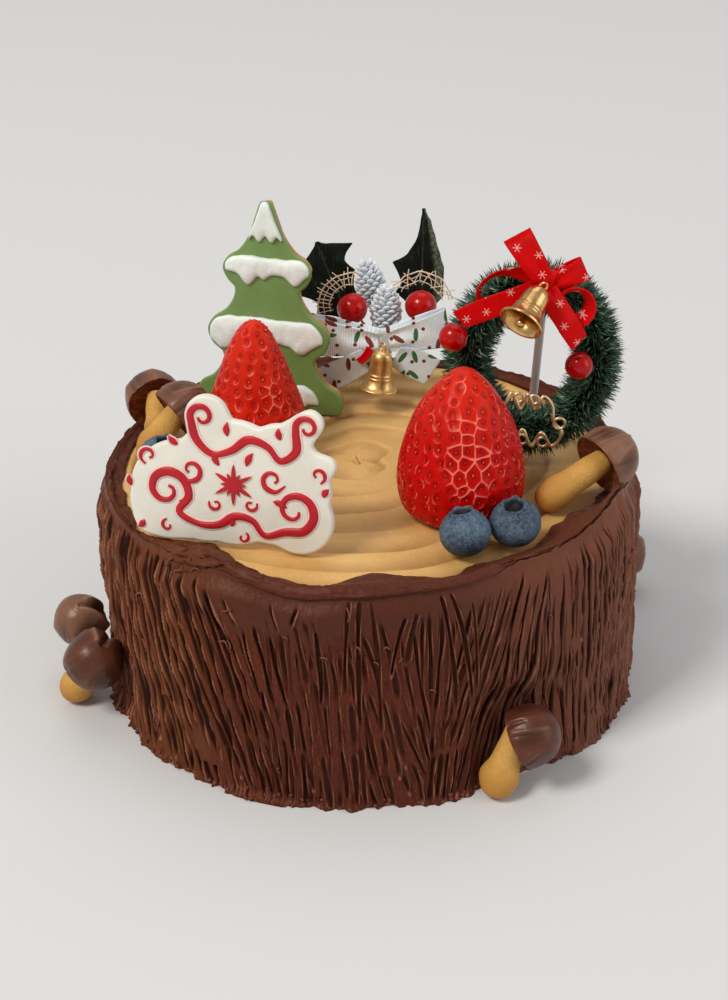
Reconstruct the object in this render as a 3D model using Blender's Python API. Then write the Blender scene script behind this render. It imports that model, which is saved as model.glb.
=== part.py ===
# Log cake for Christmas: chocolate-coated round cake, cream top, fruit, biscuit tree,
# white plaque, chocolate mushrooms, a holly pick and a small tinsel wreath.
# Sizes are millimetres, scaled to metres when a solid is made. The cake's underside
# centre is the origin, the front looks along -Y.
import bpy
import bmesh
import math
import random
import numpy as np
from mathutils import Matrix, Vector

for leftover in list(bpy.data.objects):
    bpy.data.objects.remove(leftover, do_unlink=True)

MM = 0.001
GAP = 0.3                      # clearance left between pieces that touch

# ---- cake body -------------------------------------------------------------------
CAKE_COLUMNS = 136             # points round the cake
CAKE_RADIUS = 76.7             # outer radius at the foot
SIDE_TAPER = 1.0               # the side draws in by this much at the top
BASE_SPREAD = 0.9              # ragged edge of the coating at the foot
CREASE_RADIUS = 74.6           # outer edge of the rim
CREST_RADIUS = 73.0            # highest line of the rim
CREST_HEIGHT = 64.8            # mean height of the rim
BARK_DEPTH = 0.55              # ridge height of the combed coating
RECESS_FLOOR = 53.0            # bottom of the pocket the cream fills
CREAM_LEVEL = 61.0             # top of the cream

# ---- toppings --------------------------------------------------------------------
REST = CREAM_LEVEL + GAP       # height where toppings stand
BERRY_SIDES = 12
RIBBON_THICK = 0.6

# rim pieces: (angle in degrees, half width in degrees, amount)
RIM_INNER = 68.3
RIM_INNER_BUMPS = [(-130, 9, -7.5), (-118, 6, -1.5), (-98, 7, 3.5), (-87, 5, -4.5),
                   (-67, 4, -3.0), (-35, 13, -10.5), (-148, 7, 3.0), (60, 40, 1.0),
                   (136, 14, 1.8)]
CREST_BUMPS = [(-148, 18, -2.4), (-122, 8, 2.0), (-60, 12, 1.6), (-24, 17, 4.4),
               (45, 20, 1.6), (172, 22, -2.2), (-104, 8, -1.0), (-12, 8, -2.0)]
RADIUS_BUMPS = [(-170, 18, -0.9), (-128, 15, 1.6), (-100, 10, 0.8), (-60, 13, -1.6), (-30, 14, 0.9)]
LEAN_BUMPS = [(-122, 20, -7.5), (-66, 16, 7.0), (-38, 14, -3.5), (150, 30, -4.0),
              (60, 35, 4.0)]
# presses left in the side by the mushrooms: angle, height, half width, half height, depth
PRESSES = [(-58, 13, 14, 15, 4.4), (-156, 16, 11, 13, 3.0), (-173, 16, 11, 13, 2.6)]
RIM_DIP = (-14, 12, 0.45)      # where a mushroom lies in the rim: angle, half width, drop

MATERIALS = {
    "chocolate": ((0.085, 0.035, 0.018, 1), 0.45),
    "cream": ((0.62, 0.37, 0.14, 1), 0.5),
    "strawberry": ((0.62, 0.02, 0.01, 1), 0.3),
    "blueberry": ((0.06, 0.10, 0.16, 1), 0.55),
    "biscuit": ((0.55, 0.30, 0.09, 1), 0.7),
    "green_icing": ((0.15, 0.26, 0.08, 1), 0.5),
    "white_icing": ((0.85, 0.82, 0.72, 1), 0.5),
    "red_icing": ((0.50, 0.01, 0.02, 1), 0.45),
    "mushroom_cap": ((0.15, 0.075, 0.05, 1), 0.3),
    "leaf": ((0.015, 0.025, 0.018, 1), 0.45),
    "netting": ((0.70, 0.55, 0.38, 1), 0.8),
    "cone_white": ((0.66, 0.71, 0.76, 1), 0.7),
    "berry_red": ((0.45, 0.005, 0.01, 1), 0.12),
    "ribbon_white": ((0.75, 0.74, 0.72, 1), 0.7),
    "ribbon_red": ((0.60, 0.01, 0.01, 1), 0.55),
    "tinsel": ((0.02, 0.075, 0.035, 1), 0.6),
    "stick_white": ((0.75, 0.77, 0.76, 1), 0.5),
    "gold": ((0.80, 0.52, 0.20, 1), 0.25),
}


def material(name):
    made = bpy.data.materials.get(name)
    if made:
        return made
    colour, rough = MATERIALS[name]
    made = bpy.data.materials.new(name)
    made.use_nodes = True
    shader = made.node_tree.nodes["Principled BSDF"]
    shader.inputs["Base Color"].default_value = colour
    shader.inputs["Roughness"].default_value = rough
    shader.inputs["Metallic"].default_value = 1.0 if name == "gold" else 0.0
    made.diffuse_color = colour
    return made


def solid(name, points, faces, slot, smooth=True):
    """One closed body from points in millimetres."""
    mesh = bpy.data.meshes.new(name)
    mesh.from_pydata([Vector(p) * MM for p in points], [], faces)
    body = bmesh.new()
    body.from_mesh(mesh)
    bmesh.ops.triangulate(body, faces=[f for f in body.faces if len(f.verts) > 4])
    bmesh.ops.recalc_face_normals(body, faces=body.faces)
    if body.calc_volume(signed=True) < 0:
        bmesh.ops.reverse_faces(body, faces=body.faces)
    body.to_mesh(mesh)
    body.free()
    for face in mesh.polygons:
        face.use_smooth = smooth
    made = bpy.data.objects.new(name, mesh)
    bpy.context.scene.collection.objects.link(made)
    made.data.materials.append(material(slot))
    return made


def aim(origin, axis, spin=0.0):
    """Matrix whose local Z runs along the axis."""
    turn = Vector(axis).normalized().to_track_quat("Z", "Y").to_matrix().to_4x4()
    return Matrix.Translation(Vector(origin)) @ turn @ Matrix.Rotation(spin, 4, "Z")


def plane(origin, yaw, lean=0.0):
    """Matrix for flat pieces: local X to the right, local Z up, front along local -Y."""
    turn = Matrix.Rotation(math.radians(yaw), 4, "Z")
    return Matrix.Translation(Vector(origin)) @ turn @ Matrix.Rotation(math.radians(lean), 4, "X")


def skin(rows):
    """Faces between rings of points; a ring of one point is a pole."""
    points = []
    starts = []
    faces = []
    for row in rows:
        starts.append(len(points))
        points.extend(row)
    for lower in range(len(rows) - 1):
        a = rows[lower]
        b = rows[lower + 1]
        sa = starts[lower]
        sb = starts[lower + 1]
        count = max(len(a), len(b))
        for i in range(count):
            j = (i + 1) % count
            if len(a) == 1:
                faces.append((sa, sb + i, sb + j))
            elif len(b) == 1:
                faces.append((sa + i, sa + j, sb))
            elif len(a) == len(b):
                faces.append((sa + i, sa + j, sb + j, sb + i))
            elif len(a) == 2 * len(b) and i % 2 == 0:
                near = sb + i // 2
                far = sb + (i // 2 + 1) % len(b)
                faces.append((sa + i, sa + i + 1, near))
                faces.append((sa + i + 1, sa + (i + 2) % count, far))
                faces.append((sa + i + 1, far, near))
    return points, faces


def revolve(name, profile, sides, place, slot, shape=None):
    """Round piece from (radius, height) pairs; shape(angle, height, row) scales the radius."""
    rows = []
    for row, (radius, height) in enumerate(profile):
        if radius == 0:
            rows.append([place @ Vector((0, 0, height))])
            continue
        ring = []
        for i in range(sides):
            angle = 2 * math.pi * (i + 0.5 * (row % 2)) / sides
            factor = shape(angle, height, row, i) if shape else 1.0
            ring.append(place @ Vector((radius * factor * math.cos(angle),
                                        radius * factor * math.sin(angle), height)))
        rows.append(ring)
    points, faces = skin(rows)
    return solid(name, points, faces, slot)


def sheet(name, grid, thick, slot, keep=None):
    """Thin solid over a grid of points, both faces split into triangles alike."""
    grid = np.array(grid, float)
    rows, cols = grid.shape[:2]
    along = np.gradient(grid, axis=0)
    across = np.gradient(grid, axis=1)
    normal = np.cross(along, across)
    normal /= np.linalg.norm(normal, axis=2, keepdims=True)
    both = [grid + normal * thick / 2, grid - normal * thick / 2]
    used = {}
    points = []

    def point(side, i, j):
        key = (side, i, j)
        if key not in used:
            used[key] = len(points)
            points.append(tuple(both[side][i, j]))
        return used[key]

    def present(i, j):
        inside = 0 <= i < rows - 1 and 0 <= j < cols - 1
        return inside and (keep is None or keep(i, j))

    faces = []
    for i in range(rows - 1):
        for j in range(cols - 1):
            if not present(i, j):
                continue
            corners = [(i, j), (i + 1, j), (i + 1, j + 1), (i, j + 1)]
            for side in (0, 1):
                a, b, c, d = [point(side, *corner) for corner in corners]
                faces.extend([(a, b, c), (a, c, d)])
            beside = [(i, j - 1), (i + 1, j), (i, j + 1), (i - 1, j)]
            for k, cell in enumerate(beside):
                if present(*cell):
                    continue
                p = corners[k]
                q = corners[(k + 1) % 4]
                faces.append((point(0, *p), point(0, *q), point(1, *q), point(1, *p)))
    return solid(name, points, faces, slot)


def strip(name, path, widths, thick, slot):
    """Ribbon along a path; widths are the vectors from one edge to the other."""
    path = np.array(path, float)
    widths = np.array(widths, float)
    grid = np.stack([path - widths / 2, path + widths / 2], axis=1)
    return sheet(name, grid, thick, slot)


def slab(name, outline, front, back, place, slot):
    """Flat piece: outline in local X and Z, between two local depths."""
    near = [place @ Vector((x, front, z)) for x, z in outline]
    far = [place @ Vector((x, back, z)) for x, z in outline]
    count = len(outline)
    faces = [tuple(range(count)), tuple(reversed(range(count, 2 * count)))]
    for i in range(count):
        j = (i + 1) % count
        faces.append((i, j, count + j, count + i))
    return solid(name, near + far, faces, slot, smooth=False)


def smooth_path(keys, count):
    """Even points on a smooth curve through the key points."""
    keys = np.array(keys, float)
    steps = np.linalg.norm(np.diff(keys, axis=0), axis=1) ** 0.5
    knots = np.concatenate([[0], np.cumsum(steps)])
    slopes = np.gradient(keys, knots, axis=0)
    out = []
    for t in np.linspace(0, knots[-1], count):
        k = min(int(np.searchsorted(knots, t, side="right")) - 1, len(keys) - 2)
        span = knots[k + 1] - knots[k]
        s = (t - knots[k]) / span
        h1 = 2 * s ** 3 - 3 * s ** 2 + 1
        h2 = s ** 3 - 2 * s ** 2 + s
        h3 = s ** 3 - s ** 2
        out.append(h1 * keys[k] + (1 - h1) * keys[k + 1]
                   + span * (h2 * slopes[k] + h3 * slopes[k + 1]))
    return np.array(out)


def bump_sum(angle, bumps):
    """Sum of smooth bumps at angles given in degrees."""
    total = 0.0
    for centre, width, amount in bumps:
        away = (angle - centre + 180) % 360 - 180
        total += amount * math.exp(-(away / width) ** 2)
    return total


# ---- cake and cream ------------------------------------------------------------------
def polar(radius, angle, height):
    turn = math.radians(angle)
    return (radius * math.cos(turn), radius * math.sin(turn), height)


def inner_radius(angle):
    return RIM_INNER + bump_sum(angle, RIM_INNER_BUMPS)


def crest_height(angle):
    return CREST_HEIGHT + bump_sum(angle, CREST_BUMPS)


def side_radius(angle, height):
    radius = CAKE_RADIUS + bump_sum(angle, RADIUS_BUMPS) - SIDE_TAPER * height / CREST_HEIGHT
    for centre, level, wide, tall, depth in PRESSES:
        away = math.radians((angle - centre + 180) % 360 - 180) * CAKE_RADIUS
        radius -= depth * math.exp(-(away / wide) ** 4 - ((height - level) / tall) ** 4)
    return radius


def build_cake():
    dice = random.Random(4)
    ridge = [(1 if i % 2 else -1) * dice.uniform(0.4, 1.0) for i in range(CAKE_COLUMNS)]
    ragged = [dice.uniform(-0.5, 1.0) for i in range(CAKE_COLUMNS)]
    angles = [360.0 * i / CAKE_COLUMNS - 180 for i in range(CAKE_COLUMNS)]
    levels = [0, 1.5, 10, 20, 30, 40, 50, 58]
    rows = [[(0, 0, 0)]]
    for step, level in enumerate(levels):
        ring = []
        for i, angle in enumerate(angles):
            turned = angle + bump_sum(angle, LEAN_BUMPS) * (level - 30) / 60
            radius = side_radius(turned, level)
            if step < 2:
                flange = bump_sum(turned, [(-112, 6, 2.6)])
                radius += BASE_SPREAD * ragged[i] + flange
            else:
                smooth_top = bump_sum(turned, [(-98, 16, 0.8)]) * (level > 45)
                radius += BARK_DEPTH * ridge[i] * (1 - smooth_top)
            ring.append(polar(radius, turned, level))
        rows.append(ring)
    rim = [[], [], [], [], []]
    for i, angle in enumerate(angles):
        turned = angle + bump_sum(angle, LEAN_BUMPS) * 0.55
        crest = crest_height(turned)
        inner = inner_radius(angle)
        half = (CREST_RADIUS + inner) / 2
        rim[0].append(polar(CREASE_RADIUS + 0.25 * ridge[i], turned, crest - 2.2))
        rim[1].append(polar(CREST_RADIUS, (turned + angle) / 2, crest))
        share = 0.55 - bump_sum(angle, [RIM_DIP])
        slope = CREAM_LEVEL + (crest - CREAM_LEVEL) * share
        rim[2].append(polar(half, angle, slope))
        rim[3].append(polar(inner, angle, CREAM_LEVEL + GAP))
        rim[4].append(polar(inner, angle, RECESS_FLOOR))
    rows.extend(rim)
    rows.append([(0, 0, RECESS_FLOOR)])
    points, faces = skin(rows)
    solid("cake", points, faces, "chocolate")


def build_cream():
    angles = [360.0 * i / CAKE_COLUMNS - 180 for i in range(CAKE_COLUMNS)]
    low = RECESS_FLOOR + GAP
    edge = [inner_radius(angle) - 1.3 * GAP for angle in angles]
    rows = [[(0, 0, low)]]
    rows.append([polar(r, a, low) for r, a in zip(edge, angles)])
    rows.append([polar(r, a, CREAM_LEVEL) for r, a in zip(edge, angles)])
    # palette-knife rings: share of the edge radius, drop below the top, points kept
    for share, drop, every in [(0.93, 0.5, 2), (0.80, 0.0, 2), (0.66, 0.5, 2), (0.52, 0.0, 4),
                               (0.36, 0.5, 4), (0.18, 0.0, 4)]:
        ring = []
        for i in range(0, CAKE_COLUMNS, every):
            ring.append(polar(edge[i] * share, angles[i], CREAM_LEVEL - drop))
        rows.append(ring)
    rows.append([(0, 0, CREAM_LEVEL - 0.4)])
    points, faces = skin(rows)
    solid("cream_top", points, faces, "cream")


# ---- fruit -------------------------------------------------------------------------
def strawberry(name, centre, profile, lean):
    place = aim((centre[0], centre[1], REST), lean)

    def pitted(angle, height, row, i):
        return 0.975 if (i + row) % 2 else 1.0

    revolve(name, profile, 20, place, "strawberry", pitted)


def blueberry(name, centre, axis):
    radius = 6.7
    profile = [(0, -radius * 0.93)]
    for degrees in (-60, -35, -10, 15, 38):
        turn = math.radians(degrees)
        profile.append((radius * math.cos(turn), radius * math.sin(turn) * 0.93))
    profile.extend([(3.5, 5.5), (2.4, 6.2), (1.5, 4.9), (0, 4.6)])

    def star(angle, height, row, i):
        return 1.0 + 0.12 * math.cos(5 * angle) if row in (7, 8) else 1.0

    revolve(name, profile, 15, aim(centre, axis), "blueberry", star)


# ---- mushrooms -----------------------------------------------------------------------
CAP_RADIUS = 8.4
CAP_HEIGHT = 11.4
STEM_NECK = 3.7
STEM_BULB = 5.0


def mushroom(name, rim_centre, axis, bulb_centre, bulb=STEM_BULB, size=1.0):
    """Chocolate cap on a biscuit stem: the stem runs from the hollow to its bulb."""
    place = aim(rim_centre, axis)
    # share of the cap radius, share of the cap height
    cap = [(0, 0.25), (0.56, 0.20), (0.84, 0.06), (0.95, -0.02), (1.0, 0.10), (0.95, 0.42),
           (0.76, 0.71), (0.42, 0.92), (0, 1.0)]
    cap = [(r * CAP_RADIUS * size, h * CAP_HEIGHT * size) for r, h in cap]

    def fluted(angle, height, row, i):
        return 1.0 + 0.018 * math.cos(4 * angle)

    revolve(name + "_cap", cap, 14, place, "mushroom_cap", fluted)
    neck = STEM_NECK * size
    top = Vector(rim_centre) - Vector(axis).normalized() * (neck - 1.9 * size)
    run = Vector(bulb_centre) - top
    reach = run.length
    stem = [(0, -neck), (neck * 0.8, -neck * 0.6), (neck, reach * 0.15),
            ((neck + bulb) / 2, reach * 0.62), (bulb, reach * 0.96),
            (bulb * 0.72, reach + bulb * 0.7), (0, reach + bulb)]
    revolve(name + "_stem", stem, 10, aim(top, run), "biscuit")


# ---- plaque --------------------------------------------------------------------------
# rounded lobes of the outline: x, z, radius
PLAQUE_LOBES = [(-5.2, 35.0, 5.9), (21.4, 35.5, 4.1), (25.9, 24.7, 3.1), (19.2, 21.2, 7.8),
                (19.4, 9.5, 9.2), (-12.3, 14.4, 13.5), (-15.8, 10.8, 10.3), (1.4, 17.9, 17.0),
                (-5.7, 15.4, 14.5), (14.2, 25.4, 9.6), (-19.2, 7.1, 6.2), (12.2, 17.8, 15.6)]
PLAQUE_CENTRE = (1.5, 18.0)
PLAQUE_THICK = 3.0
SCROLL_THICK = 0.8


def plaque_outline(count, inset=0.0):
    cx, cz = PLAQUE_CENTRE
    outline = []
    for i in range(count):
        angle = 2 * math.pi * i / count
        dx = math.cos(angle)
        dz = math.sin(angle)
        reach = 10.0
        for x, z, radius in PLAQUE_LOBES:
            along = dx * (x - cx) + dz * (z - cz)
            apart = (x - cx) ** 2 + (z - cz) ** 2 - (radius - inset) ** 2
            if along * along > apart:
                reach = max(reach, along + math.sqrt(along * along - apart))
        outline.append((cx + dx * reach, max(cz + dz * reach, GAP)))
    return outline


def scroll(name, keys, widths, count, place, depth):
    """Raised icing line of changing width on the plaque's face."""
    path = smooth_path(keys, count)
    wide = np.interp(np.linspace(0, 1, count), np.linspace(0, 1, len(widths)), widths)
    run = np.gradient(path, axis=0)
    run /= np.linalg.norm(run, axis=1, keepdims=True)
    side = np.stack([-run[:, 1], run[:, 0]], axis=1)
    grid = []
    for p, s, w in zip(path, side, wide):
        pair = [p - s * w / 2, p + s * w / 2]
        grid.append([place @ Vector((q[0], depth, q[1])) for q in pair])
    sheet(name, grid, SCROLL_THICK, "red_icing")


def spiral(centre, start, turns, outer, inner, count=7):
    """Key points of a curl, from the outside inwards; angles in degrees."""
    out = []
    for i in range(count):
        t = i / (count - 1)
        angle = math.radians(start + 360 * turns * t)
        radius = outer + (inner - outer) * t
        out.append((centre[0] + radius * math.cos(angle), centre[1] + radius * math.sin(angle)))
    return out


def build_plaque():
    place = plane((-36.5, -46.6, 61.5), -13.7, -6)
    outline = plaque_outline(72)
    slab("plaque", outline, -PLAQUE_THICK / 2, PLAQUE_THICK / 2, place, "white_icing")
    depth = -PLAQUE_THICK / 2 - GAP - SCROLL_THICK / 2
    upper = list(reversed(spiral((-6.2, 35.4), 215, -1.05, 3.4, 1.1)))
    upper += [(-7.6, 29.0), (-3.4, 25.6), (1.6, 27.0), (6.2, 30.4), (11.2, 29.0), (14.6, 25.6),
              (18.6, 28.4)]
    upper += spiral((21.4, 35.0), 205, -1.05, 3.2, 1.0)
    scroll("plaque_scroll_upper", upper, [0.9, 1.6, 2.4, 1.6, 2.4, 1.6, 2.4, 1.5, 0.9],
           40, place, depth)
    lower = list(reversed(spiral((-15.8, 14.6), 300, 1.35, 6.6, 1.2, 9)))
    lower += [(-7.0, 6.0), (-1.6, 6.4), (2.8, 9.2), (7.4, 8.4), (10.6, 4.8)]
    lower += spiral((18.4, 12.4), 250, 1.3, 6.4, 1.2, 9)
    scroll("plaque_scroll_lower", lower, [0.9, 1.8, 2.6, 2.2, 1.5, 2.4, 1.5, 2.4, 2.4, 1.6, 0.9],
           44, place, depth)
    star = []
    for k in range(24):
        turn = math.radians(15 * k + 90)
        reach = (5.6, 1.8, 3.4, 1.8)[k % 4]
        star.append((2.2 + reach * math.cos(turn), 17.8 + reach * math.sin(turn)))
    slab("plaque_star", star, depth - SCROLL_THICK / 2, depth + SCROLL_THICK / 2, place,
         "red_icing")


# ---- biscuit tree ----------------------------------------------------------------------
TREE_AXIS = -0.8
TREE_HALF = [(0.9, 64.4), (3.2, 59.0), (5.6, 53.8), (8.2, 49.4), (11.0, 47.2), (12.6, 44.4),
             (11.4, 41.3), (9.2, 38.8), (9.4, 35.4), (12.0, 31.0), (16.4, 27.5), (17.9, 24.4),
             (16.6, 20.8), (13.6, 18.0), (13.4, 15.0), (16.8, 9.4), (20.8, 6.8), (21.9, 3.6),
             (20.4, 0.8), (16.5, 0.3)]
TREE_BISCUIT = 3.4
TREE_ICING = 1.6
TREE_SNOW = 1.3


def tree_outline(inset=0.0):
    right = np.array(TREE_HALF)
    left = right[::-1] * (-1, 1)
    ring = np.concatenate([right, left])
    run = np.roll(ring, -1, axis=0) - np.roll(ring, 1, axis=0)
    run /= np.linalg.norm(run, axis=1, keepdims=True)
    ring = ring + np.stack([run[:, 1], -run[:, 0]], axis=1) * -inset
    return [(x + TREE_AXIS, max(z, 0.3)) for x, z in ring]


def snow_band(name, left, right, top, rise, bottom, drips, place, depth, count=9):
    """Icing band with drips: upper edge arched, lower edge with named drips."""
    upper = []
    lower = []
    for i in range(count):
        t = i / (count - 1)
        x = left + (right - left) * t
        bow = (1 - (2 * t - 1) ** 4)
        upper.append((x, top - rise + rise * bow))
        drop = sum(deep * math.exp(-((x - at) / wide) ** 2) for at, wide, deep in drips)
        lower.append((x, min(bottom + (1 - bow) * 1.5 - drop, top - rise - 1.0)))
    slab(name, upper + lower[::-1], depth - TREE_SNOW / 2, depth + TREE_SNOW / 2, place,
         "white_icing")


def build_tree():
    place = plane((-27.6, 42.3, 61.0), -15)
    half = TREE_BISCUIT / 2
    slab("tree_biscuit", tree_outline(), -half, half, place, "biscuit")
    front = -half - GAP
    slab("tree_icing", tree_outline(0.8), front - TREE_ICING, front, place, "green_icing")
    depth = front - TREE_ICING - GAP - TREE_SNOW / 2
    cap = [(TREE_AXIS + 0.9, 64.0), (1.9, 60.9), (3.6, 56.6), (2.0, 55.9), (0.5, 53.8),
           (-1.1, 54.6), (-2.7, 55.2), (-4.3, 53.0), (-5.4, 53.8), (-3.5, 59.8),
           (TREE_AXIS - 0.9, 64.0)]
    slab("tree_snow_top", cap, depth - TREE_SNOW / 2, depth + TREE_SNOW / 2, place,
         "white_icing")
    snow_band("tree_snow_middle", -12.4, 11.2, 48.2, 3.4, 43.4,
              [(-6.4, 2.2, 3.8), (7.9, 2.4, 2.8), (-1.4, 1.2, 1.4)], place, depth)
    snow_band("tree_snow_lower", -18.6, 14.8, 29.0, 5.0, 22.3,
              [(-14.8, 3.6, 3.2), (9.2, 3.0, 3.0), (-2, 2.5, 2.5)], place, depth)
    snow_band("tree_snow_foot", -16.6, 14.8, 9.4, 5.0, 4.4,
              [(9.8, 2.0, 2.0), (-9.8, 2.4, 2.0), (0, 2.5, 1.6)], place, depth)


# ---- holly pick -------------------------------------------------------------------------
def holly(name, base, tip, normal, spines, fold, bend):
    """Spiny leaf: spines are (share of the length, left half width, right half width)."""
    base = Vector(base)
    run = Vector(tip) - base
    normal = Vector(normal)
    normal = (normal - run * (normal.dot(run) / run.dot(run))).normalized()
    side = run.normalized().cross(normal)
    grid = []
    for share, left, right in spines:
        row = []
        for wide in (-left, -left / 2, 0, right / 2, right):
            lift = fold * abs(wide) + bend * math.sin(math.pi * share)
            row.append(base + run * share + side * wide + normal * lift)
        grid.append(row)
    sheet(name, grid, 0.7, "leaf")


STRAND = 0.7                   # width of a netting strand
TIE_HALF_ANGLE = 2.6           # half the angle a cross tie covers, in degrees


def netting(name, centre, start, stop, radii, place, cells):
    """Open mesh round a berry: two long strands and short ties with free ends."""
    angles = []
    for i in range(cells + 1):
        middle = start + (stop - start) * i / cells
        angles.extend([middle - TIE_HALF_ANGLE, middle + TIE_HALF_ANGLE])
    rings = [radii[0], radii[1], radii[1] + STRAND, radii[2], radii[2] + STRAND, radii[3]]
    grid = []
    for angle in angles:
        turn = math.radians(angle)
        grid.append([place @ Vector((centre[0] + radius * math.cos(turn), 0,
                                     centre[1] + radius * math.sin(turn))) for radius in rings])

    def woven(i, j):
        return i % 2 == 0 or j in (1, 3)

    sheet(name, grid, STRAND, "netting", woven)


def cone(name, foot, axis, length, radius):
    profile = [(0, 0)]
    rings = 8
    for k in range(rings):
        t = (k + 0.5) / rings
        profile.append((radius * math.sin(math.pi * (0.12 + 0.80 * t)) ** 0.7, length * t))
    profile.append((0, length))

    def scaly(angle, height, row, i):
        return 1.10 if (i + row) % 2 else 0.86

    revolve(name, profile, 10, aim(foot, axis), "cone_white", scaly)


def berry(name, centre, radius):
    profile = [(0, -radius)]
    for degrees in (-58, -30, 0, 30, 58):
        turn = math.radians(degrees)
        profile.append((radius * math.cos(turn), radius * math.sin(turn)))
    profile.append((0, radius))
    revolve(name, profile, BERRY_SIDES, aim(centre, (0, 0, 1)), "berry_red")


def bell(name, top, axis, length, mouth):
    """Small bell: loop knob on top, flared lip, shallow hollow in the mouth."""
    profile = [(0, -2.2), (1.1, -1.6), (0.9, -0.3), (mouth * 0.40, 0.3), (mouth * 0.52, 1.6),
               (mouth * 0.60, length * 0.55), (mouth * 0.76, length * 0.82), (mouth, length),
               (mouth * 0.86, length), (mouth * 0.55, length - 2.6), (0, length - 3.2)]
    revolve(name, profile, 14, aim(top, axis), "gold")


def rod(name, start, end, radius, slot):
    run = Vector(end) - Vector(start)
    profile = [(0, 0), (radius, 0), (radius, run.length), (0, run.length)]
    revolve(name, profile, 10, aim(start, run), slot)


def ribbon_loop(name, start, reach, width, depth, slot, waist=0.65, count=9):
    """Bow loop: out from the knot, round a fold and back behind."""
    start = np.array(start, float)
    reach = np.array(reach, float)
    width = np.array(width, float)
    depth = np.array(depth, float)
    path = []
    widths = []
    for i in range(count):
        turn = math.pi * i / (count - 1)
        out = math.sin(turn) ** 0.8
        path.append(start + reach * out + depth * (1 - math.cos(turn)) / 2)
        widths.append(width * (waist + (1 - waist) * out))
    strip(name, path, widths, RIBBON_THICK, slot)


def build_pick():
    back = plane((4, 56, 61), 0)
    behind = plane((4, 61, 59), 0)
    holly("holly_leaf_left", (-6.0, 74, 77), (-15.4, 73, 102.3), (0, -1, 0.25),
          [(0, 1.5, 1.5), (0.2, 8.5, 6.5), (0.33, 7.0, 5.5), (0.55, 13.2, 8.0), (0.70, 7.0, 6.0),
           (0.86, 5.6, 10.4), (1.0, 0.5, 0.5)], 0.10, 1.2)
    holly("holly_leaf_right", (17.2, 69, 78), (17.2, 70, 114.0), (-0.3, -1, 0.1),
          [(0, 1.5, 1.5), (0.24, 9.0, 6.5), (0.32, 7.0, 6.0), (0.50, 10.0, 5.2),
           (0.62, 4.4, 3.8), (0.78, 3.0, 1.8), (1.0, 0.4, 0.4)], -0.15, 1.0)
    netting("netting_left", (-8.4, 27.2), 84, 198, (5.6, 6.8, 9.2, 11.8), back, 7)
    netting("netting_right", (12.1, 27.9), 12, 144, (5.6, 6.8, 9.0, 11.4), behind, 7)
    cone("pinecone_back", (2.2, 66.0, 84.8), (-0.2, 0.05, 1), 15.2, 4.9)
    cone("pinecone_front", (5.6, 56.0, 80.0), (0.02, 0.05, 1), 15.2, 4.9)
    berry("pick_berry_left", (-4.4, 53.6, 88.2), 4.6)
    berry("pick_berry_right", (16.2, 53.6, 88.9), 4.8)
    rod("pick_wire", (5.4, 62.0, REST), (5.4, 62.0, 79), 1.1, "stick_white")
    ribbon_loop("white_loop_left", (2.2, 44.8, 81.2), (-20.6, 0.6, 2.2), (0.6, 0, 12.0),
                (0, 3.3, 0), "ribbon_white", 0.55)
    ribbon_loop("white_loop_right", (8.4, 44.8, 81.6), (15.6, 0.6, 3.6), (-1.8, 0, 12.0),
                (0, 3.3, 0), "ribbon_white", 0.55)
    tail = smooth_path([(2.0, 43.6, 77.0), (-6.0, 43.2, 72.6), (-13.0, 43.6, 68.8)], 5)
    strip("white_tail_left", tail, [(-3.2, 0, 5.6), (-3.9, 0, 7.0), (-4.2, 0, 7.2), (-4.4, 0, 7.6),
                                    (-4.4, 0, 7.4)], RIBBON_THICK, "ribbon_white")
    tail = smooth_path([(8.6, 43.6, 77.0), (14.0, 43.2, 73.6), (18.8, 43.6, 70.2)], 5)
    strip("white_tail_right", tail, [(3.2, 0, 5.6), (4.0, 0, 6.8), (4.4, 0, 7.2), (4.6, 0, 7.2),
                                     (4.8, 0, 6.8)], RIBBON_THICK, "ribbon_white")
    ring = [(1.9 * math.cos(a), 1.6 * math.sin(a)) for a in np.linspace(0, 2 * math.pi, 11)[:-1]]
    rows = [[(5.2, 45.6, 76.4)]]
    for level, swell in ((76.6, 0.9), (79.0, 1.2), (82.2, 1.2), (84.6, 0.9)):
        rows.append([(5.2 + x * swell, 45.6 + y * swell, level) for x, y in ring])
    rows.append([(5.2, 45.6, 84.8)])
    points, faces = skin(rows)
    solid("white_knot", points, faces, "ribbon_white")
    bell("pick_bell", (4.6, 40.2, 80.0), (-0.12, -0.10, -1), 11.8, 5.4)
    twist = smooth_path([(-2.4, 42.4, 75.4), (-0.6, 42.2, 77.2), (1.0, 42.4, 79.8)], 4)
    strip("bell_ribbon", twist, [(1.8, 0, -1.4)] * 4, RIBBON_THICK, "red_icing")


# ---- wreath -----------------------------------------------------------------------------
WREATH_CENTRE = (45.7, 5.0, 92.4)
WREATH_HALF_WIDTH = 17.8       # of the ring's centre line
WREATH_HALF_HEIGHT = 21.6
TINSEL_RADIUS = 8.6


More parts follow.
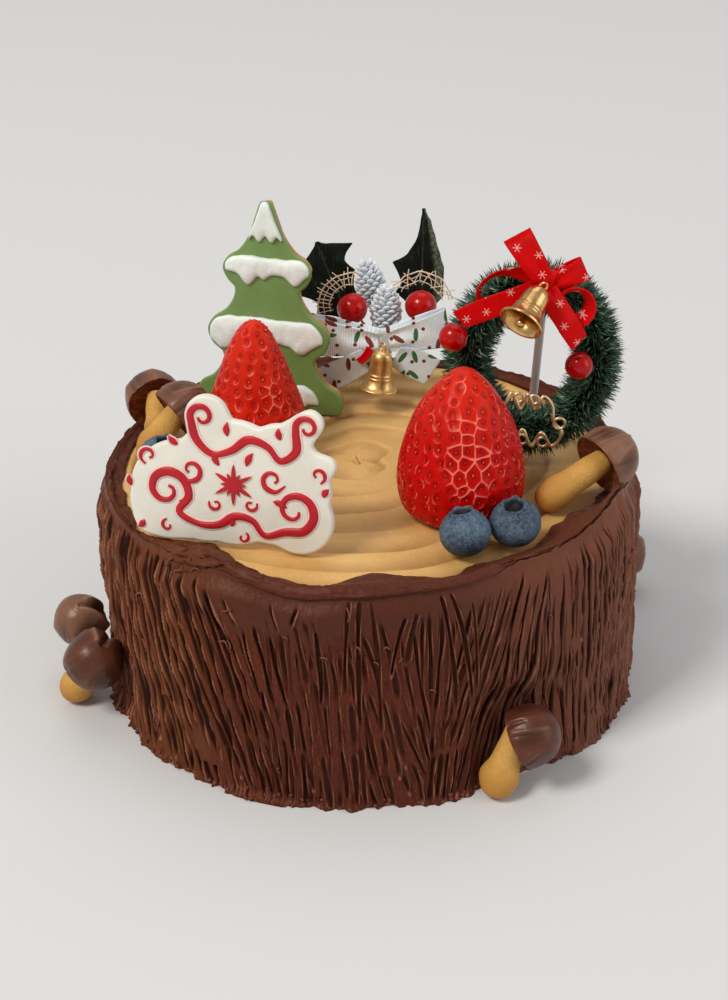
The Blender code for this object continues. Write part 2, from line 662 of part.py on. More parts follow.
def build_wreath():
    dice = random.Random(9)
    around = 34
    sides = 10
    rows = []
    for i in range(around):
        turn = 2 * math.pi * i / around
        out = Vector((WREATH_HALF_HEIGHT * math.cos(turn), 0,
                      WREATH_HALF_WIDTH * math.sin(turn))).normalized()
        middle = Vector(WREATH_CENTRE) + Vector((WREATH_HALF_WIDTH * math.cos(turn), 0,
                                                 WREATH_HALF_HEIGHT * math.sin(turn)))
        row = []
        for k in range(sides):
            angle = 2 * math.pi * k / sides
            reach = TINSEL_RADIUS * ((1.07 if (i + k) % 2 else 0.93) + dice.uniform(-0.03, 0.03))
            row.append(middle + out * (reach * math.cos(angle))
                       + Vector((0, reach * math.sin(angle), 0)))
        rows.append(row)
    points, faces = skin(rows + [rows[0]])
    faces = [tuple(v % (around * sides) for v in face) for face in faces]
    solid("wreath_garland", points[:around * sides], faces, "tinsel")
    rod("wreath_stick", (46.6, 15.7, REST), (49.2, 15.7, 107.0), 1.2, "stick_white")
    berry("wreath_berry_left", (23.2, -5.8, 103.2), 3.9)
    berry("wreath_berry_right", (57.2, -7.4, 95.6), 3.8)
    red = "ribbon_red"
    ribbon_loop("red_loop_up", (44.6, -10.0, 123.4), (-5.4, 0, 9.6), (6.6, 0, 3.6), (0, 2.6, 0),
                red, 0.9)
    ribbon_loop("red_loop_right", (52.4, -9.0, 121.4), (4.8, 0, 2.4), (-2.8, 0, 5.8),
                (0, 2.6, 0), red, 0.9)
    curl = smooth_path([(43.0, -5.6, 120.6), (37.6, -5.6, 121.6), (32.4, -5.6, 120.2),
                        (29.6, -5.6, 116.2), (30.4, -5.6, 112.8)], 9)
    strip("red_loop_left", curl, [(0.5, -0.3, 5.2), (0.5, -0.6, 5.0), (0.5, -1.2, 4.4),
                                  (0, -1.6, 3.0), (-0.5, -1.8, 2.0), (-1, -2.0, 1.0),
                                  (-1.2, -2.0, 0.5), (-1.2, -2.0, 0.2), (-1.2, -2.0, 0)],
          RIBBON_THICK, red)
    path = []
    widths = []
    for i in range(9):
        turn = math.radians(118 - 250 * i / 8)
        path.append((54.8 + 4.3 * math.cos(turn), -8.6, 113.4 + 4.6 * math.sin(turn)))
        widths.append((2.6 * math.cos(turn), -4.6, 2.6 * math.sin(turn)))
    strip("red_curl_right", path, widths, RIBBON_THICK, red)
    tail = smooth_path([(43.6, -8.0, 117.0), (34.6, -8.6, 113.6), (24.4, -9.4, 109.6)], 6)
    strip("red_tail_left", tail, [(-2.2, 0, 4.8)] + [(-2.8, 0, 5.6)] * 4 + [(-3.6, 0, 4.6)],
          RIBBON_THICK, red)
    tail = smooth_path([(48.6, -11.6, 116.2), (52.6, -12.6, 110.4), (56.4, -12.2, 104.2)], 5)
    strip("red_tail_right", tail, [(5.0, 0, 2.2)] + [(5.2, 0, 3.2)] * 3 + [(3.6, 0, 4.6)],
          RIBBON_THICK, red)
    knot = []
    for level, swell in ((-3.4, 0.8), (-1.4, 1.0), (1.4, 1.0), (3.4, 0.8)):
        turn = [2 * math.pi * k / 10 for k in range(10)]
        knot.append([(47.5 + level * 0.42 + 2.4 * swell * math.cos(a),
                      -8.6 + 2.2 * swell * math.sin(a),
                      120.0 + level) for a in turn])
    ends = [[(46.1, -8.6, 116.3)], [(48.9, -8.6, 123.7)]]
    points, faces = skin([ends[0]] + knot + [ends[1]])
    solid("red_knot", points, faces, red)
    bell("wreath_bell", (45.4, -13.4, 119.6), (-0.477, -0.66, -0.52), 11.6, 6.0)
    keys = [(-9.6, 8.6), (-7.4, 4.6), (-5.0, 8.6), (-2.6, 3.8), (-0.6, 8.2), (1.4, 3.6),
            (3.6, 7.6), (6.2, 4.4), (6.6, 0.0), (9.0, -3.4), (6.4, -7.6), (3.4, -3.4),
            (0.8, -7.4), (-1.8, -2.6), (-4.2, -6.6), (-6.4, -2.2)]
    path = smooth_path(keys, 34)
    run = np.gradient(path, axis=0)
    run /= np.linalg.norm(run, axis=1, keepdims=True)
    middle = (44.6, -6.0, 78.4)
    grid = []
    for (x, z), (dx, dz) in zip(path, run):
        grid.append([(middle[0] + x + dz * w, middle[1], middle[2] + z - dx * w)
                     for w in (-0.6, 0.6)])
    sheet("gold_charm", grid, 1.0, "gold")


build_cake()
build_cream()
strawberry("strawberry_left", (-31.6, 10.0),
           [(0, 0), (9.5, 0), (13.4, 2.4), (14.8, 7), (14.0, 13), (12.2, 19), (9.8, 26),
            (6.9, 33), (4.3, 37.8), (2.0, 40.0), (0, 40.6)], (0.0, 0, 1))
strawberry("strawberry_right", (25.0, -26.0),
           [(0, 0), (12.2, 0), (15.9, 3.2), (17.1, 9), (16.8, 15), (15.3, 21.5), (12.8, 28),
            (9.2, 34), (5.4, 38.6), (2.4, 41), (0, 41.5)], (0.0, 0, 1))
blueberry("blueberry_front", (25.0, -51.7, 68.2), (-0.35, 0.35, 0.87))
blueberry("blueberry_right", (38.2, -46.4, 68.2), (0.1, -0.3, 0.95))
blueberry("blueberry_left", (-56.6, -8.4, 68.2), (0.2, -0.2, 0.96))
mushroom("mushroom_a", (-63.0, 23.2, 71.4), (-0.36, 0.92, 0.15), (-62.0, 16.6, 65.8), 4.2)
mushroom("mushroom_b", (-56.2, 10.4, 72.9), (0.75, 0.42, 0.5), (-60.2, 4.1, 66.4), 4.9)
mushroom("mushroom_c", (62.6, -17.6, 71.9), (0.80, 0.50, 0.33), (50.0, -26.6, 65.9), 4.4, 1.04)
mushroom("mushroom_d", (-81.6, -9.6, 15.6), (-0.3, -0.45, 0.84), (-83.2, -4.2, 5.0), 4.5, 0.9)
mushroom("mushroom_e", (-76.4, -30.6, 15.8), (0.3, -0.59, 0.75), (-82.2, -26.0, 5.3))
mushroom("mushroom_f", (39.2, -67.8, 15.8), (0.88, -0.08, 0.47), (35.2, -71.2, 5.5), 5.3)
mushroom("mushroom_g", (78.5, 43.0, 10.4), (0.2, -0.85, 0.45), (76.8, 51.5, 5.4))
build_plaque()
build_tree()
build_pick()
build_wreath()
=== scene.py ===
import math
import random
import bpy
import numpy as np
from mathutils import Euler, Matrix, Vector


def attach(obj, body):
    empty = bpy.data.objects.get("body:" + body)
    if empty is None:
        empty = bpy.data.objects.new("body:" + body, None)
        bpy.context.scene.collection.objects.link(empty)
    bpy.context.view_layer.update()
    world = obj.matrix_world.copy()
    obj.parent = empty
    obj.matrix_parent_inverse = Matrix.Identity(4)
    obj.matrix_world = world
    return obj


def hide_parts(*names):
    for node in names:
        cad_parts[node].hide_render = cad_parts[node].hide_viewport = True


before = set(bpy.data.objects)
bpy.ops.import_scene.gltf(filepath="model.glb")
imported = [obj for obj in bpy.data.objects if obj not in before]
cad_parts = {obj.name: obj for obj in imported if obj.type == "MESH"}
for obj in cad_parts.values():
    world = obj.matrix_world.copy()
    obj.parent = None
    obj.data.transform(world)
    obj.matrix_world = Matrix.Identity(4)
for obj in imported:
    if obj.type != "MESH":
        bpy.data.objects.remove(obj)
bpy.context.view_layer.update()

# Log cake for Christmas. Sizes are millimetres, made metres as each mesh is written.
mm = 0.001
clearance = 0.3


# small tools

def deselectAll():
    for thing in list(bpy.context.selected_objects):
        thing.select_set(False)


def pick(thing):
    deselectAll()
    thing.select_set(True)
    bpy.context.view_layer.objects.active = thing


def rename(piece, name):
    piece.name = name
    piece.data.name = name
    return piece


def addFact(piece, key, values):
    fact = piece.data.attributes.new(key, "FLOAT", "POINT")
    fact.data.foreach_set("value", np.asarray(values, np.float32).ravel())


def mergeSeams():
    bpy.ops.mesh.remove_doubles(threshold=0.000008)


def faceOut():
    bpy.ops.mesh.normals_make_consistent(inside=False)


def edit(thing, *steps):
    pick(thing)
    bpy.ops.object.mode_set(mode="EDIT")
    bpy.ops.mesh.select_all(action="SELECT")
    for step in steps:
        step()
    bpy.ops.object.mode_set(mode="OBJECT")


def applyModifier(thing, kind, **settings):
    pick(thing)
    modifier = thing.modifiers.new(kind.title(), kind)
    for key, value in settings.items():
        setattr(modifier, key, value)
    bpy.ops.object.modifier_apply(modifier=modifier.name)


# rows of points (rows, columns, 3) laid over a grid primitive; a row or edge drawn to
# one place is merged, so round pieces close at their seam and poles
def layGrid(name, points, wrap=False, facts=None, closed=True):
    facts = dict(facts or {})
    if wrap:
        points = np.concatenate([points, points[:, :1]], axis=1)
        facts = {key: np.concatenate([v, v[:, :1]], axis=1) for key, v in facts.items()}
    rows, columns = points.shape[:2]
    deselectAll()
    bpy.ops.mesh.primitive_grid_add(x_subdivisions=columns - 1, y_subdivisions=rows - 1, size=1)
    piece = rename(bpy.context.object, name)
    piece.data.vertices.foreach_set("co", (points * mm).astype(np.float32).ravel())
    for key, values in facts.items():
        addFact(piece, key, values)
    steps = [mergeSeams, faceOut] if closed else [mergeSeams]
    edit(piece, *steps)
    bpy.ops.object.shade_smooth()
    return piece


# one small shape set down at many places as a single mesh
def strew(name, shapePoints, shapeFaces, places, facts=None):
    places = np.array([np.array(place) for place in places])
    shape = np.array(shapePoints, float)
    points = np.einsum("mij,nj->mni", places[:, :3, :3], shape) + places[:, None, :3, 3]
    count = len(shape)
    faces = []
    for i in range(len(places)):
        faces.extend([tuple(v + i * count for v in face) for face in shapeFaces])
    mesh = bpy.data.meshes.new(name)
    mesh.from_pydata((points.reshape(-1, 3) * mm).tolist(), [], faces)
    piece = bpy.data.objects.new(name, mesh)
    bpy.context.scene.collection.objects.link(piece)
    for key, values in (facts or {}).items():
        addFact(piece, key, np.repeat(np.array(values, np.float32), count))
    edit(piece, faceOut)
    bpy.ops.object.shade_smooth()
    return piece


# rounded pebble with half sizes of 1
def pebble():
    shape = [(0, -1, 0)]
    for level, reach in ((-0.72, 0.68), (0.0, 1.0), (0.72, 0.68)):
        for i in range(8):
            turn = math.pi * i / 4
            shape.append((reach * math.cos(turn), level, reach * math.sin(turn)))
    shape.append((0, 1, 0))
    faces = [(0, 1 + i, 1 + (i + 1) % 8) for i in range(8)]
    for k in (1, 9):
        faces += [(k + i, k + 8 + i, k + 8 + (i + 1) % 8, k + (i + 1) % 8) for i in range(8)]
    faces += [(25, 17 + (i + 1) % 8, 17 + i) for i in range(8)]
    return shape, faces


def joinUp(name, pieces):
    pick(pieces[0])
    for piece in pieces[1:]:
        piece.select_set(True)
    if len(pieces) > 1:
        bpy.ops.object.join()
    return rename(pieces[0], name)


def dress(piece, finish, slot, *replaced):
    piece.data.materials.clear()
    piece.data.materials.append(finish)
    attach(piece, "root")
    if replaced:
        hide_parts(*replaced)


# turned pieces: local Z along the axis
def aim(origin, axis):
    turn = Vector(axis).normalized().to_track_quat("Z", "Y").to_matrix().to_4x4()
    return Matrix.Translation(Vector(origin)) @ turn


# small shapes: their own axes, with sizes, at a spot
def axesAt(spot, *axes):
    return Matrix.Translation(spot) @ Matrix(axes).transposed().to_4x4()


# flat pieces: local X to the right, local Z up, front along local -Y
def standing(origin, yaw, lean=0.0):
    turn = Matrix.Rotation(math.radians(yaw), 4, "Z")
    return Matrix.Translation(Vector(origin)) @ turn @ Matrix.Rotation(math.radians(lean), 4, "X")


def placed(points, place):
    place = np.array(place)
    return np.asarray(points, float) @ place[:3, :3].T + place[:3, 3]


# length run at each point of a path
def runLength(path, power=1.0):
    steps = np.linalg.norm(np.diff(path, axis=0), axis=1) ** power
    return np.concatenate([[0], np.cumsum(steps)])


def smoothPath(keys, count):
    keys = np.array(keys, float)
    knots = runLength(keys, 0.5)
    slopes = np.gradient(keys, knots, axis=0)
    t = np.linspace(0, knots[-1], count)
    k = np.clip(np.searchsorted(knots, t, side="right") - 1, 0, len(keys) - 2)
    span = (knots[k + 1] - knots[k])[:, None]
    s = (t[:, None] - knots[k][:, None]) / span
    h1 = 2 * s ** 3 - 3 * s ** 2 + 1
    return (h1 * keys[k] + (1 - h1) * keys[k + 1]
            + span * ((s ** 3 - 2 * s ** 2 + s) * slopes[k] + (s ** 3 - s ** 2) * slopes[k + 1]))


def evenPath(path, count):
    along = runLength(path)
    wanted = np.linspace(0, along[-1], count)
    return np.stack([np.interp(wanted, along, path[:, i]) for i in range(path.shape[1])], axis=1)


# a few rows of values drawn out evenly over more rows
def drawnOut(rows, count):
    rows = np.array(rows, float)
    at = np.linspace(0, 1, count)
    return np.stack([np.interp(at, np.linspace(0, 1, len(rows)), column) for column in rows.T], axis=1)


# smooth random hills from -1 to 1 over a plane; wrapX repeats them every wrapX cells
def hills(x, y, seed, wrapX=None):
    table = np.random.default_rng(seed).uniform(-1, 1, (512, 512))
    x0 = np.floor(x).astype(int)
    y0 = np.floor(y).astype(int)
    fx = x - x0
    fy = y - y0
    fx = fx * fx * (3 - 2 * fx)
    fy = fy * fy * (3 - 2 * fy)

    def cell(i, j):
        i = i % wrapX if wrapX else i
        return table[i % 512, j % 512]

    low = cell(x0, y0) * (1 - fx) + cell(x0 + 1, y0) * fx
    high = cell(x0, y0 + 1) * (1 - fx) + cell(x0 + 1, y0 + 1) * fx
    return low * (1 - fy) + high * fy


def easeStep(value, low, high):
    t = np.clip((value - low) / (high - low), 0, 1)
    return t * t * (3 - 2 * t)


def angleAway(angle, centre, whole=360):
    return (angle - centre + whole / 2) % whole - whole / 2


def bumpSum(angle, bumps):
    total = np.zeros_like(np.asarray(angle, float))
    for centre, width, amount in bumps:
        total = total + amount * np.exp(-(angleAway(angle, centre) / width) ** 2)
    return total


def polar(radius, angle, height):
    turn = np.radians(angle)
    return np.stack([radius * np.cos(turn), radius * np.sin(turn), height + 0 * turn], axis=-1)


def roundTurns(count):
    return np.linspace(0, 2 * math.pi, count, endpoint=False)


# turned rows from (radius, height) pairs
def turned(profile, sides):
    profile = np.asarray(profile, float)
    angles = roundTurns(sides)
    return np.stack([profile[:, :1] * np.cos(angles), profile[:, :1] * np.sin(angles),
                     profile[:, 1:2] + 0 * angles], axis=-1), angles


# closed tube along a path, with a radius for each point and rounded ends
def tubePoints(path, radii, sides, ends=True, up=(0, 0, 1)):
    path = np.asarray(path, float)
    radii = np.broadcast_to(np.asarray(radii, float), (len(path),))
    run = np.gradient(path, axis=0)
    run /= np.linalg.norm(run, axis=1, keepdims=True)
    side = np.cross(run, np.asarray(up, float))
    short = np.linalg.norm(side, axis=1) < 0.02
    side[short] = np.cross(run[short], (0.0, 1.0, 0.02))
    side /= np.linalg.norm(side, axis=1, keepdims=True)
    rise = np.cross(side, run)
    turn = roundTurns(sides)
    rows = []
    for p, r, s, u in zip(path, radii, side, rise):
        rows.append(p + r * (np.cos(turn)[:, None] * s + np.sin(turn)[:, None] * u))
    if ends:
        tip = np.repeat((path[0] - run[0] * radii[0] * 0.5)[None], sides, axis=0)
        tail = np.repeat((path[-1] + run[-1] * radii[-1] * 0.5)[None], sides, axis=0)
        rows = [tip] + rows + [tail]
    return np.array(rows)


def tube(name, path, radii, sides, ends=True, up=(0, 0, 1)):
    return layGrid(name, tubePoints(path, radii, sides, ends, up), wrap=True)


# ribbon along a path; widths are vectors from one edge to the other, bow lifts the middle
def ribbon(name, path, widths, thick, across, bow=0.0, waves=0):
    path = np.asarray(path, float)
    widths = np.asarray(widths, float)
    run = np.gradient(path, axis=0)
    normal = np.cross(run, widths)
    normal /= np.linalg.norm(normal, axis=1, keepdims=True)
    share = np.linspace(-0.5, 0.5, across)
    rows = path[:, None] + widths[:, None] * share[None, :, None]
    lift = bow * (1 - (2 * share) ** 2)[None, :] + waves
    rows = rows + normal[:, None] * np.broadcast_to(lift, rows.shape[:2])[..., None]
    piece = layGrid(name, rows, closed=False)
    applyModifier(piece, "SOLIDIFY", thickness=thick * mm, offset=0)
    pick(piece)
    bpy.ops.object.shade_smooth()
    return piece


# finishes

def paint(red, green, blue):
    def linear(value):
        value = value / 255
        return value / 12.92 if value <= 0.04045 else ((value + 0.055) / 1.055) ** 2.4
    return (linear(red), linear(green), linear(blue), 1)


def addNode(tree, kind, inputs=None, **settings):
    node = tree.nodes.new("ShaderNode" + kind)
    for key, value in settings.items():
        setattr(node, key, value)
    for socket, source in (inputs or {}).items():
        if isinstance(source, bpy.types.NodeSocket):
            tree.links.new(source, node.inputs[socket])
        else:
            node.inputs[socket].default_value = source
    return node


# a number worked out from one or two others
def reckon(tree, operation, *values):
    return addNode(tree, "Math", dict(enumerate(values)), operation=operation).outputs[0]


def newFinish(name, shaderValues):
    finish = bpy.data.materials.new(name)
    finish.use_nodes = True
    shader = finish.node_tree.nodes["Principled BSDF"]
    for key, value in shaderValues.items():
        shader.inputs[key].default_value = value
    return finish, finish.node_tree


def pieceCoords(tree, kind="Object", scale=(1, 1, 1)):
    coords = addNode(tree, "TexCoord")
    return addNode(tree, "Mapping", {"Vector": coords.outputs[kind], "Scale": scale}).outputs[0]


def mixColour(tree, factor, first, second):
    first, second = (paint(*tone) if isinstance(tone, tuple) else tone for tone in (first, second))
    return addNode(tree, "Mix", {"Factor": factor, 6: first, 7: second}, data_type="RGBA").outputs[2]


def ramp(tree, value, low, high):
    return addNode(tree, "MapRange", {"Value": value, "From Min": low, "From Max": high}).outputs[0]


def attribute(tree, name):
    return addNode(tree, "Attribute", attribute_name=name).outputs["Fac"]


# an effect that several finishes share: a node group with named inputs and outputs
def newEffect(name, inputs, outputs):
    group = bpy.data.node_groups.new(name, "ShaderNodeTree")
    for key, value in inputs.items():
        kind = "Float" if isinstance(value, float) else "Vector" if len(value) == 3 else "Color"
        socket = group.interface.new_socket(key, in_out="INPUT", socket_type="NodeSocket" + kind)
        socket.default_value = value
    for key, kind in outputs.items():
        group.interface.new_socket(key, in_out="OUTPUT", socket_type="NodeSocket" + kind)
    given = group.nodes.new("NodeGroupInput").outputs
    return group, given, group.nodes.new("NodeGroupOutput").inputs


# two colours mottled together by noise
def makeMottle():
    group, given, out = newEffect("mottle", {"Vector": (0, 0, 0), "Scale": 200.0, "Low": 0.4, "High": 0.6,
                                             "First": (0, 0, 0, 1), "Second": (1, 1, 1, 1)},
                                  {"Colour": "Color", "Mask": "Float"})
    noise = addNode(group, "TexNoise", {"Vector": given["Vector"], "Scale": given["Scale"],
                                        "Detail": 4.0, "Roughness": 0.6})
    mask = ramp(group, noise.outputs["Fac"], given["Low"], given["High"])
    group.links.new(mixColour(group, mask, given["First"], given["Second"]), out["Colour"])
    group.links.new(mask, out["Mask"])
    return group


# grain as a normal, broad and fine layers together
def makeGrain():
    group, given, out = newEffect("grain", {"Vector": (0, 0, 0), "Broad": 150.0, "Fine": 900.0,
                                            "Share": 0.5, "Depth": 0.0002}, {"Normal": "Vector"})
    layers = [addNode(group, "TexNoise", {"Vector": given["Vector"], "Scale": given[key],
                                          "Detail": detail}).outputs["Fac"]
              for key, detail in (("Broad", 3.0), ("Fine", 2.0))]
    both = addNode(group, "Mix", {"Factor": given["Share"], "A": layers[0], "B": layers[1]})
    bump = addNode(group, "Bump", {"Height": both.outputs[0], "Distance": given["Depth"]})
    group.links.new(bump.outputs[0], out["Normal"])
    return group


mottleGroup = makeMottle()
grainGroup = makeGrain()


def mottle(tree, vector, scale, low, high, first, second):
    node = addNode(tree, "Group", {"Vector": vector, "Scale": scale, "Low": low, "High": high,
                                   "First": paint(*first), "Second": paint(*second)},
                   node_tree=mottleGroup)
    return node.outputs["Colour"], node.outputs["Mask"]


def grain(tree, vector, broad, fine, share, depth):
    return addNode(tree, "Group", {"Vector": vector, "Broad": broad, "Fine": fine, "Share": share,
                                   "Depth": depth}, node_tree=grainGroup).outputs["Normal"]


def cover(finish, colour, normal):
    tree = finish.node_tree
    shader = tree.nodes["Principled BSDF"]
    tree.links.new(colour, shader.inputs["Base Color"])
    tree.links.new(normal, shader.inputs["Normal"])
    return finish


def twoToneFinish(name, low, high, mottling, graining, shaderValues):
    finish, tree = newFinish(name, shaderValues)
    coords = pieceCoords(tree)
    colour, _ = mottle(tree, coords, *mottling, low, high)
    return cover(finish, colour, grain(tree, coords, *graining))


# camera, light and floor

photoView = {"place": (-0.9, -480.8, 297.85), "downTilt": 27.18, "lens": 68.4}
studio = {"floor": (217, 217, 217), "floorSize": 8.0, "world": 0.42, "aimedAt": (0, 0, 0.05)}
lamps = {"key": {"power": 76, "size": 1.0, "place": (-1.7, -1.5, 2.7), "colour": (1, 0.965, 0.91)},
         "fill": {"power": 30, "size": 2.4, "place": (3.0, -1.1, 1.5), "colour": (0.95, 0.97, 1)},
         "top": {"power": 16, "size": 2.2, "place": (0.2, 1.3, 3.1), "colour": (1, 1, 1)}}


def setStudio():
    camera = bpy.data.cameras.new("photoCamera")
    camera.lens = photoView["lens"]
    camera.sensor_width = 36
    camera.clip_start = 0.01
    camera.clip_end = 60
    holder = bpy.data.objects.new("photoCamera", camera)
    bpy.context.scene.collection.objects.link(holder)
    holder.location = Vector(photoView["place"]) * mm
    holder.rotation_euler = (math.radians(90 - photoView["downTilt"]), 0, 0)
    bpy.context.scene.camera = holder
    bpy.context.scene.view_settings.view_transform = "Standard"

    deselectAll()
    bpy.ops.mesh.primitive_grid_add(x_subdivisions=4, y_subdivisions=4, size=studio["floorSize"])
    floor = rename(bpy.context.object, "studioFloor")
    finish, _ = newFinish("floorFinish", {"Base Color": paint(*studio["floor"]), "Roughness": 0.9,
                                          "Specular IOR Level": 0.1})
    floor.data.materials.append(finish)

    world = bpy.data.worlds.new("studioWorld")
    world.use_nodes = True
    backdrop = world.node_tree.nodes["Background"].inputs
    backdrop["Color"].default_value = (1, 0.99, 0.975, 1)
    backdrop["Strength"].default_value = studio["world"]
    bpy.context.scene.world = world

    for name, lamp in lamps.items():
        light = bpy.data.lights.new(name + "Light", "AREA")
        light.energy = lamp["power"]
        light.size = lamp["size"]
        light.color = lamp["colour"]
        holder = bpy.data.objects.new(name + "Light", light)
        bpy.context.scene.collection.objects.link(holder)
        holder.location = lamp["place"]
        run = Vector(studio["aimedAt"]) - Vector(lamp["place"])
        holder.rotation_euler = run.to_track_quat("-Z", "Y").to_euler()


setStudio()
print("studio ready")


# cake: bark wall, rim and cream

cake = {
    "radius": 76.7, "taper": 1.0, "crease": 74.4, "foldDrop": 2.7, "openDrop": 0.5,
    "crest": 73.0, "crestHeight": 64.8, "cream": 61.0, "rimInner": 68.3,
    # pieces of the wall: from angle, to angle, columns; they share these rows
    "walls": {"left": (-190, -118, 620), "front": (-118, -60, 516), "right": (-60, 12, 600),
              "back": (12, 170, 600)},
    "wallRows": 152, "wallLimit": 79.6, "rimColumns": 1150, "rimSteps": 5,
    # inner side of the wall, hidden: radius and height at its top and foot
    "wallInside": ((66, 57.8), (60, 0.0)),
    # swells by angle, each with its angle, half width and height: inner edge, crest, side
    "innerBumps": [(-130, 9, -7.5), (-118, 6, -1.5), (-100, 4, 1.0), (-89, 7, -7.0),
                   (-79, 6, -3.4), (-65, 5, -4.2), (-56, 8, -2.8), (-34, 17, -7.2),
                   (-148, 7, 3.0), (64, 34, 2.2), (136, 14, 1.8)],
    "crestBumps": [(-148, 18, -2.4), (-122, 8, 2.0), (-60, 12, 1.6), (-24, 17, 4.4),
                   (45, 20, 1.6), (172, 22, -2.2), (-104, 8, -1.0), (-12, 8, -2.0)],
    "radiusBumps": [(-170, 18, -0.9), (-128, 15, 1.6), (-100, 10, 0.8), (-60, 13, -1.6),
                    (-30, 14, 0.9)],
    # presses of the mushrooms: angle, height, half width, half height, depth
    "presses": [(-58, 13, 14, 15, 4.4), (-156, 16, 11, 13, 3.0), (-173, 16, 11, 13, 2.6)],
    # deep pockets left where the coating folded: angle, height, widths, depth, slant
    "pockets": [(-120.5, 52.5, 0.85, 5.2, 1.9, 0.42), (-124.0, 56.0, 0.6, 4.0, 1.5, 0.35),
                (-127.5, 55.0, 0.5, 4.5, 1.2, 0.35), (-117.0, 54.5, 0.45, 3.0, 1.1, 0.5),
                (-146, 44.5, 0.5, 2.2, 1.3, 0.15), (-56, 31, 0.8, 6.5, 1.5, -0.25),
                (-151, 55, 0.7, 3.0, 1.6, 0.2), (-163, 58, 0.8, 2.4, 1.6, 0.3),
                (-65, 24, 0.7, 8.0, 1.3, -0.3), (-110, 30, 0.5, 3.0, 1.1, 0.2),
                (-104, 56, 0.4, 2.2, 0.8, -0.3), (-108, 55, 0.35, 3.2, 0.7, 0.3)],
    # more swells: a flange at the foot, lumps of the smeared rim, lip of the folded band, and
    # the painted light: a warm lit patch on the left side, paler light on the right side
    "flange": [(-112, 6, 2.6)], "edgeSpread": 1.1,
    "smearLumps": [(-125, 12, 1.3), (-160, 16, 1.5), (-16, 12, 1.1), (-62, 6, 0.6)],
    "lip": [(-93, 17, 1.0)], "warm": [(-136, 15, 0.75), (-165, 10, 0.4), (100, 40, 0.3)],
    "pale": [(-22, 20, 0.8), (-54, 14, 0.5)],
    # the cream is drawn up against the rim at the back: angle, half width, height
    "drawnUp": [(70, 42, 2.6)],
    # the folded band of the coating: centre, half width where it is full, half width where it ends
    "fold": (-99, 33, 41), "foldThin": [(-78, 14, 0.5)],
    # where the inner slope of the rim sags: angle, half width, share of its height
    "lowSlope": [(-14, 12, 0.45)],
}
# combing by angle: slant to the right going down, spacing of the tines, length, depth,
# and how far below the crest the strokes start
combing = [
    (-190, 0.02, 1.8, 62, 0.85, 0), (-162, 0.10, 2.2, 62, 0.85, 0), (-152, 0.20, 2.6, 62, 0.9, 0),
    (-140, 0.31, 3.0, 60, 0.95, 0), (-124, 0.36, 3.0, 58, 1.0, 3), (-113, 0.22, 2.8, 48, 1.0, 8),
    (-104, 0.06, 2.7, 32, 0.6, 10), (-93, 0.10, 2.8, 38, 0.55, 9), (-84, 0.30, 2.6, 44, 0.55, 8),
    (-78, 0.12, 2.4, 34, 0.55, 7), (-74, -0.12, 2.3, 36, 0.65, 4), (-68, -0.34, 2.4, 50, 0.8, 1),
    (-58, -0.16, 2.5, 50, 0.95, 0), (-50, 0.08, 2.8, 54, 0.85, 0), (-38, 0.04, 2.5, 46, 0.9, 0),
    (-26, 0.0, 1.7, 26, 0.95, 0), (5, 0.0, 1.7, 34, 0.95, 0), (40, 0.12, 2.2, 52, 1.15, 1),
    (80, -0.16, 2.4, 50, 1.2, 6), (120, 0.12, 2.3, 50, 1.15, 2), (170, 0.02, 1.5, 62, 0.95, 0),
]
strokes = {
    "stepAlong": 0.12, "stepUp": 0.25, "height": 67.0, "spacing": 3.6, "tines": (1, 4),
    "wide": (0.24, 0.50), "burr": 0.9, "burrWidth": 0.13, "facet": 0.13, "seed": 12,
    # by angle: how much a new stroke smooths the older ones, how broad its grooves are,
    # how evenly long it is
    "feel": [(-190, 0.45, 1.0, 0.3), (-164, 0.6, 1.35, 1), (-152, 0.85, 2.0, 1), (-126, 0.85, 2.0, 1),
             (-112, 0.5, 1.1, 0), (-98, 0.55, 1.3, 0.1), (-80, 0.55, 1.3, 0.1), (-66, 0.5, 1.0, 0),
             (-20, 0.45, 0.85, 0), (170, 0.45, 1.0, 0.3)],
    # single grooves from the fold: spacing and depth, then for each groove its angle, drop below
    # the crest, length, slant and bend
    "singleCut": (1.6, 0.62),
    "single": [(-94.0, 3.2, 30, -0.03, 0.8), (-91.2, 3.0, 44, 0.04, -1.0), (-88.0, 3.0, 42, 0.06, 0.8),
               (-73.9, 3.0, 40, 0.22, 1.6), (-70.9, 3.0, 38, 0.22, 1.4), (-68.5, 7.0, 30, 0.05, 0.8),
               (-99.0, 11, 24, 0.05, 0.5), (-102.5, 10, 20, 0.1, 0.4), (-84.5, 8, 18, -0.15, 0.5),
               (-82.0, 7, 16, -0.2, 0.4)],
}


def crestHeight(angle):
    return cake["crestHeight"] + bumpSum(angle, cake["crestBumps"])


def innerRadius(angle):
    return cake["rimInner"] + bumpSum(angle, cake["innerBumps"])


def creamLevel(angle):
    return cake["cream"] + bumpSum(angle, cake["drawnUp"])


# 1 where the coating is folded down over the wall, 0 where the wall runs up to its edge
def foldShare(angle):
    centre, full, end = cake["fold"]
    return 1 - easeStep(np.abs(angleAway(angle, centre)), full, end)


# the folded band gets narrower right of the middle
def foldHang(angle):
    return 1 - bumpSum(angle, cake["foldThin"])


def sideRadius(angle, height):
    radius = (cake["radius"] + bumpSum(angle, cake["radiusBumps"])
              - cake["taper"] * height / cake["crestHeight"])
    for centre, level, wide, tall, depth in cake["presses"]:
        away = np.radians(angleAway(angle, centre)) * cake["radius"]
        radius = radius - depth * np.exp(-(away / wide) ** 4 - ((height - level) / tall) ** 4)
    return radius


# the wall is unrolled from -190 to 170 degrees, so its seam lies at the back
def unrolled(angle):
    return (angle + 190) / 360


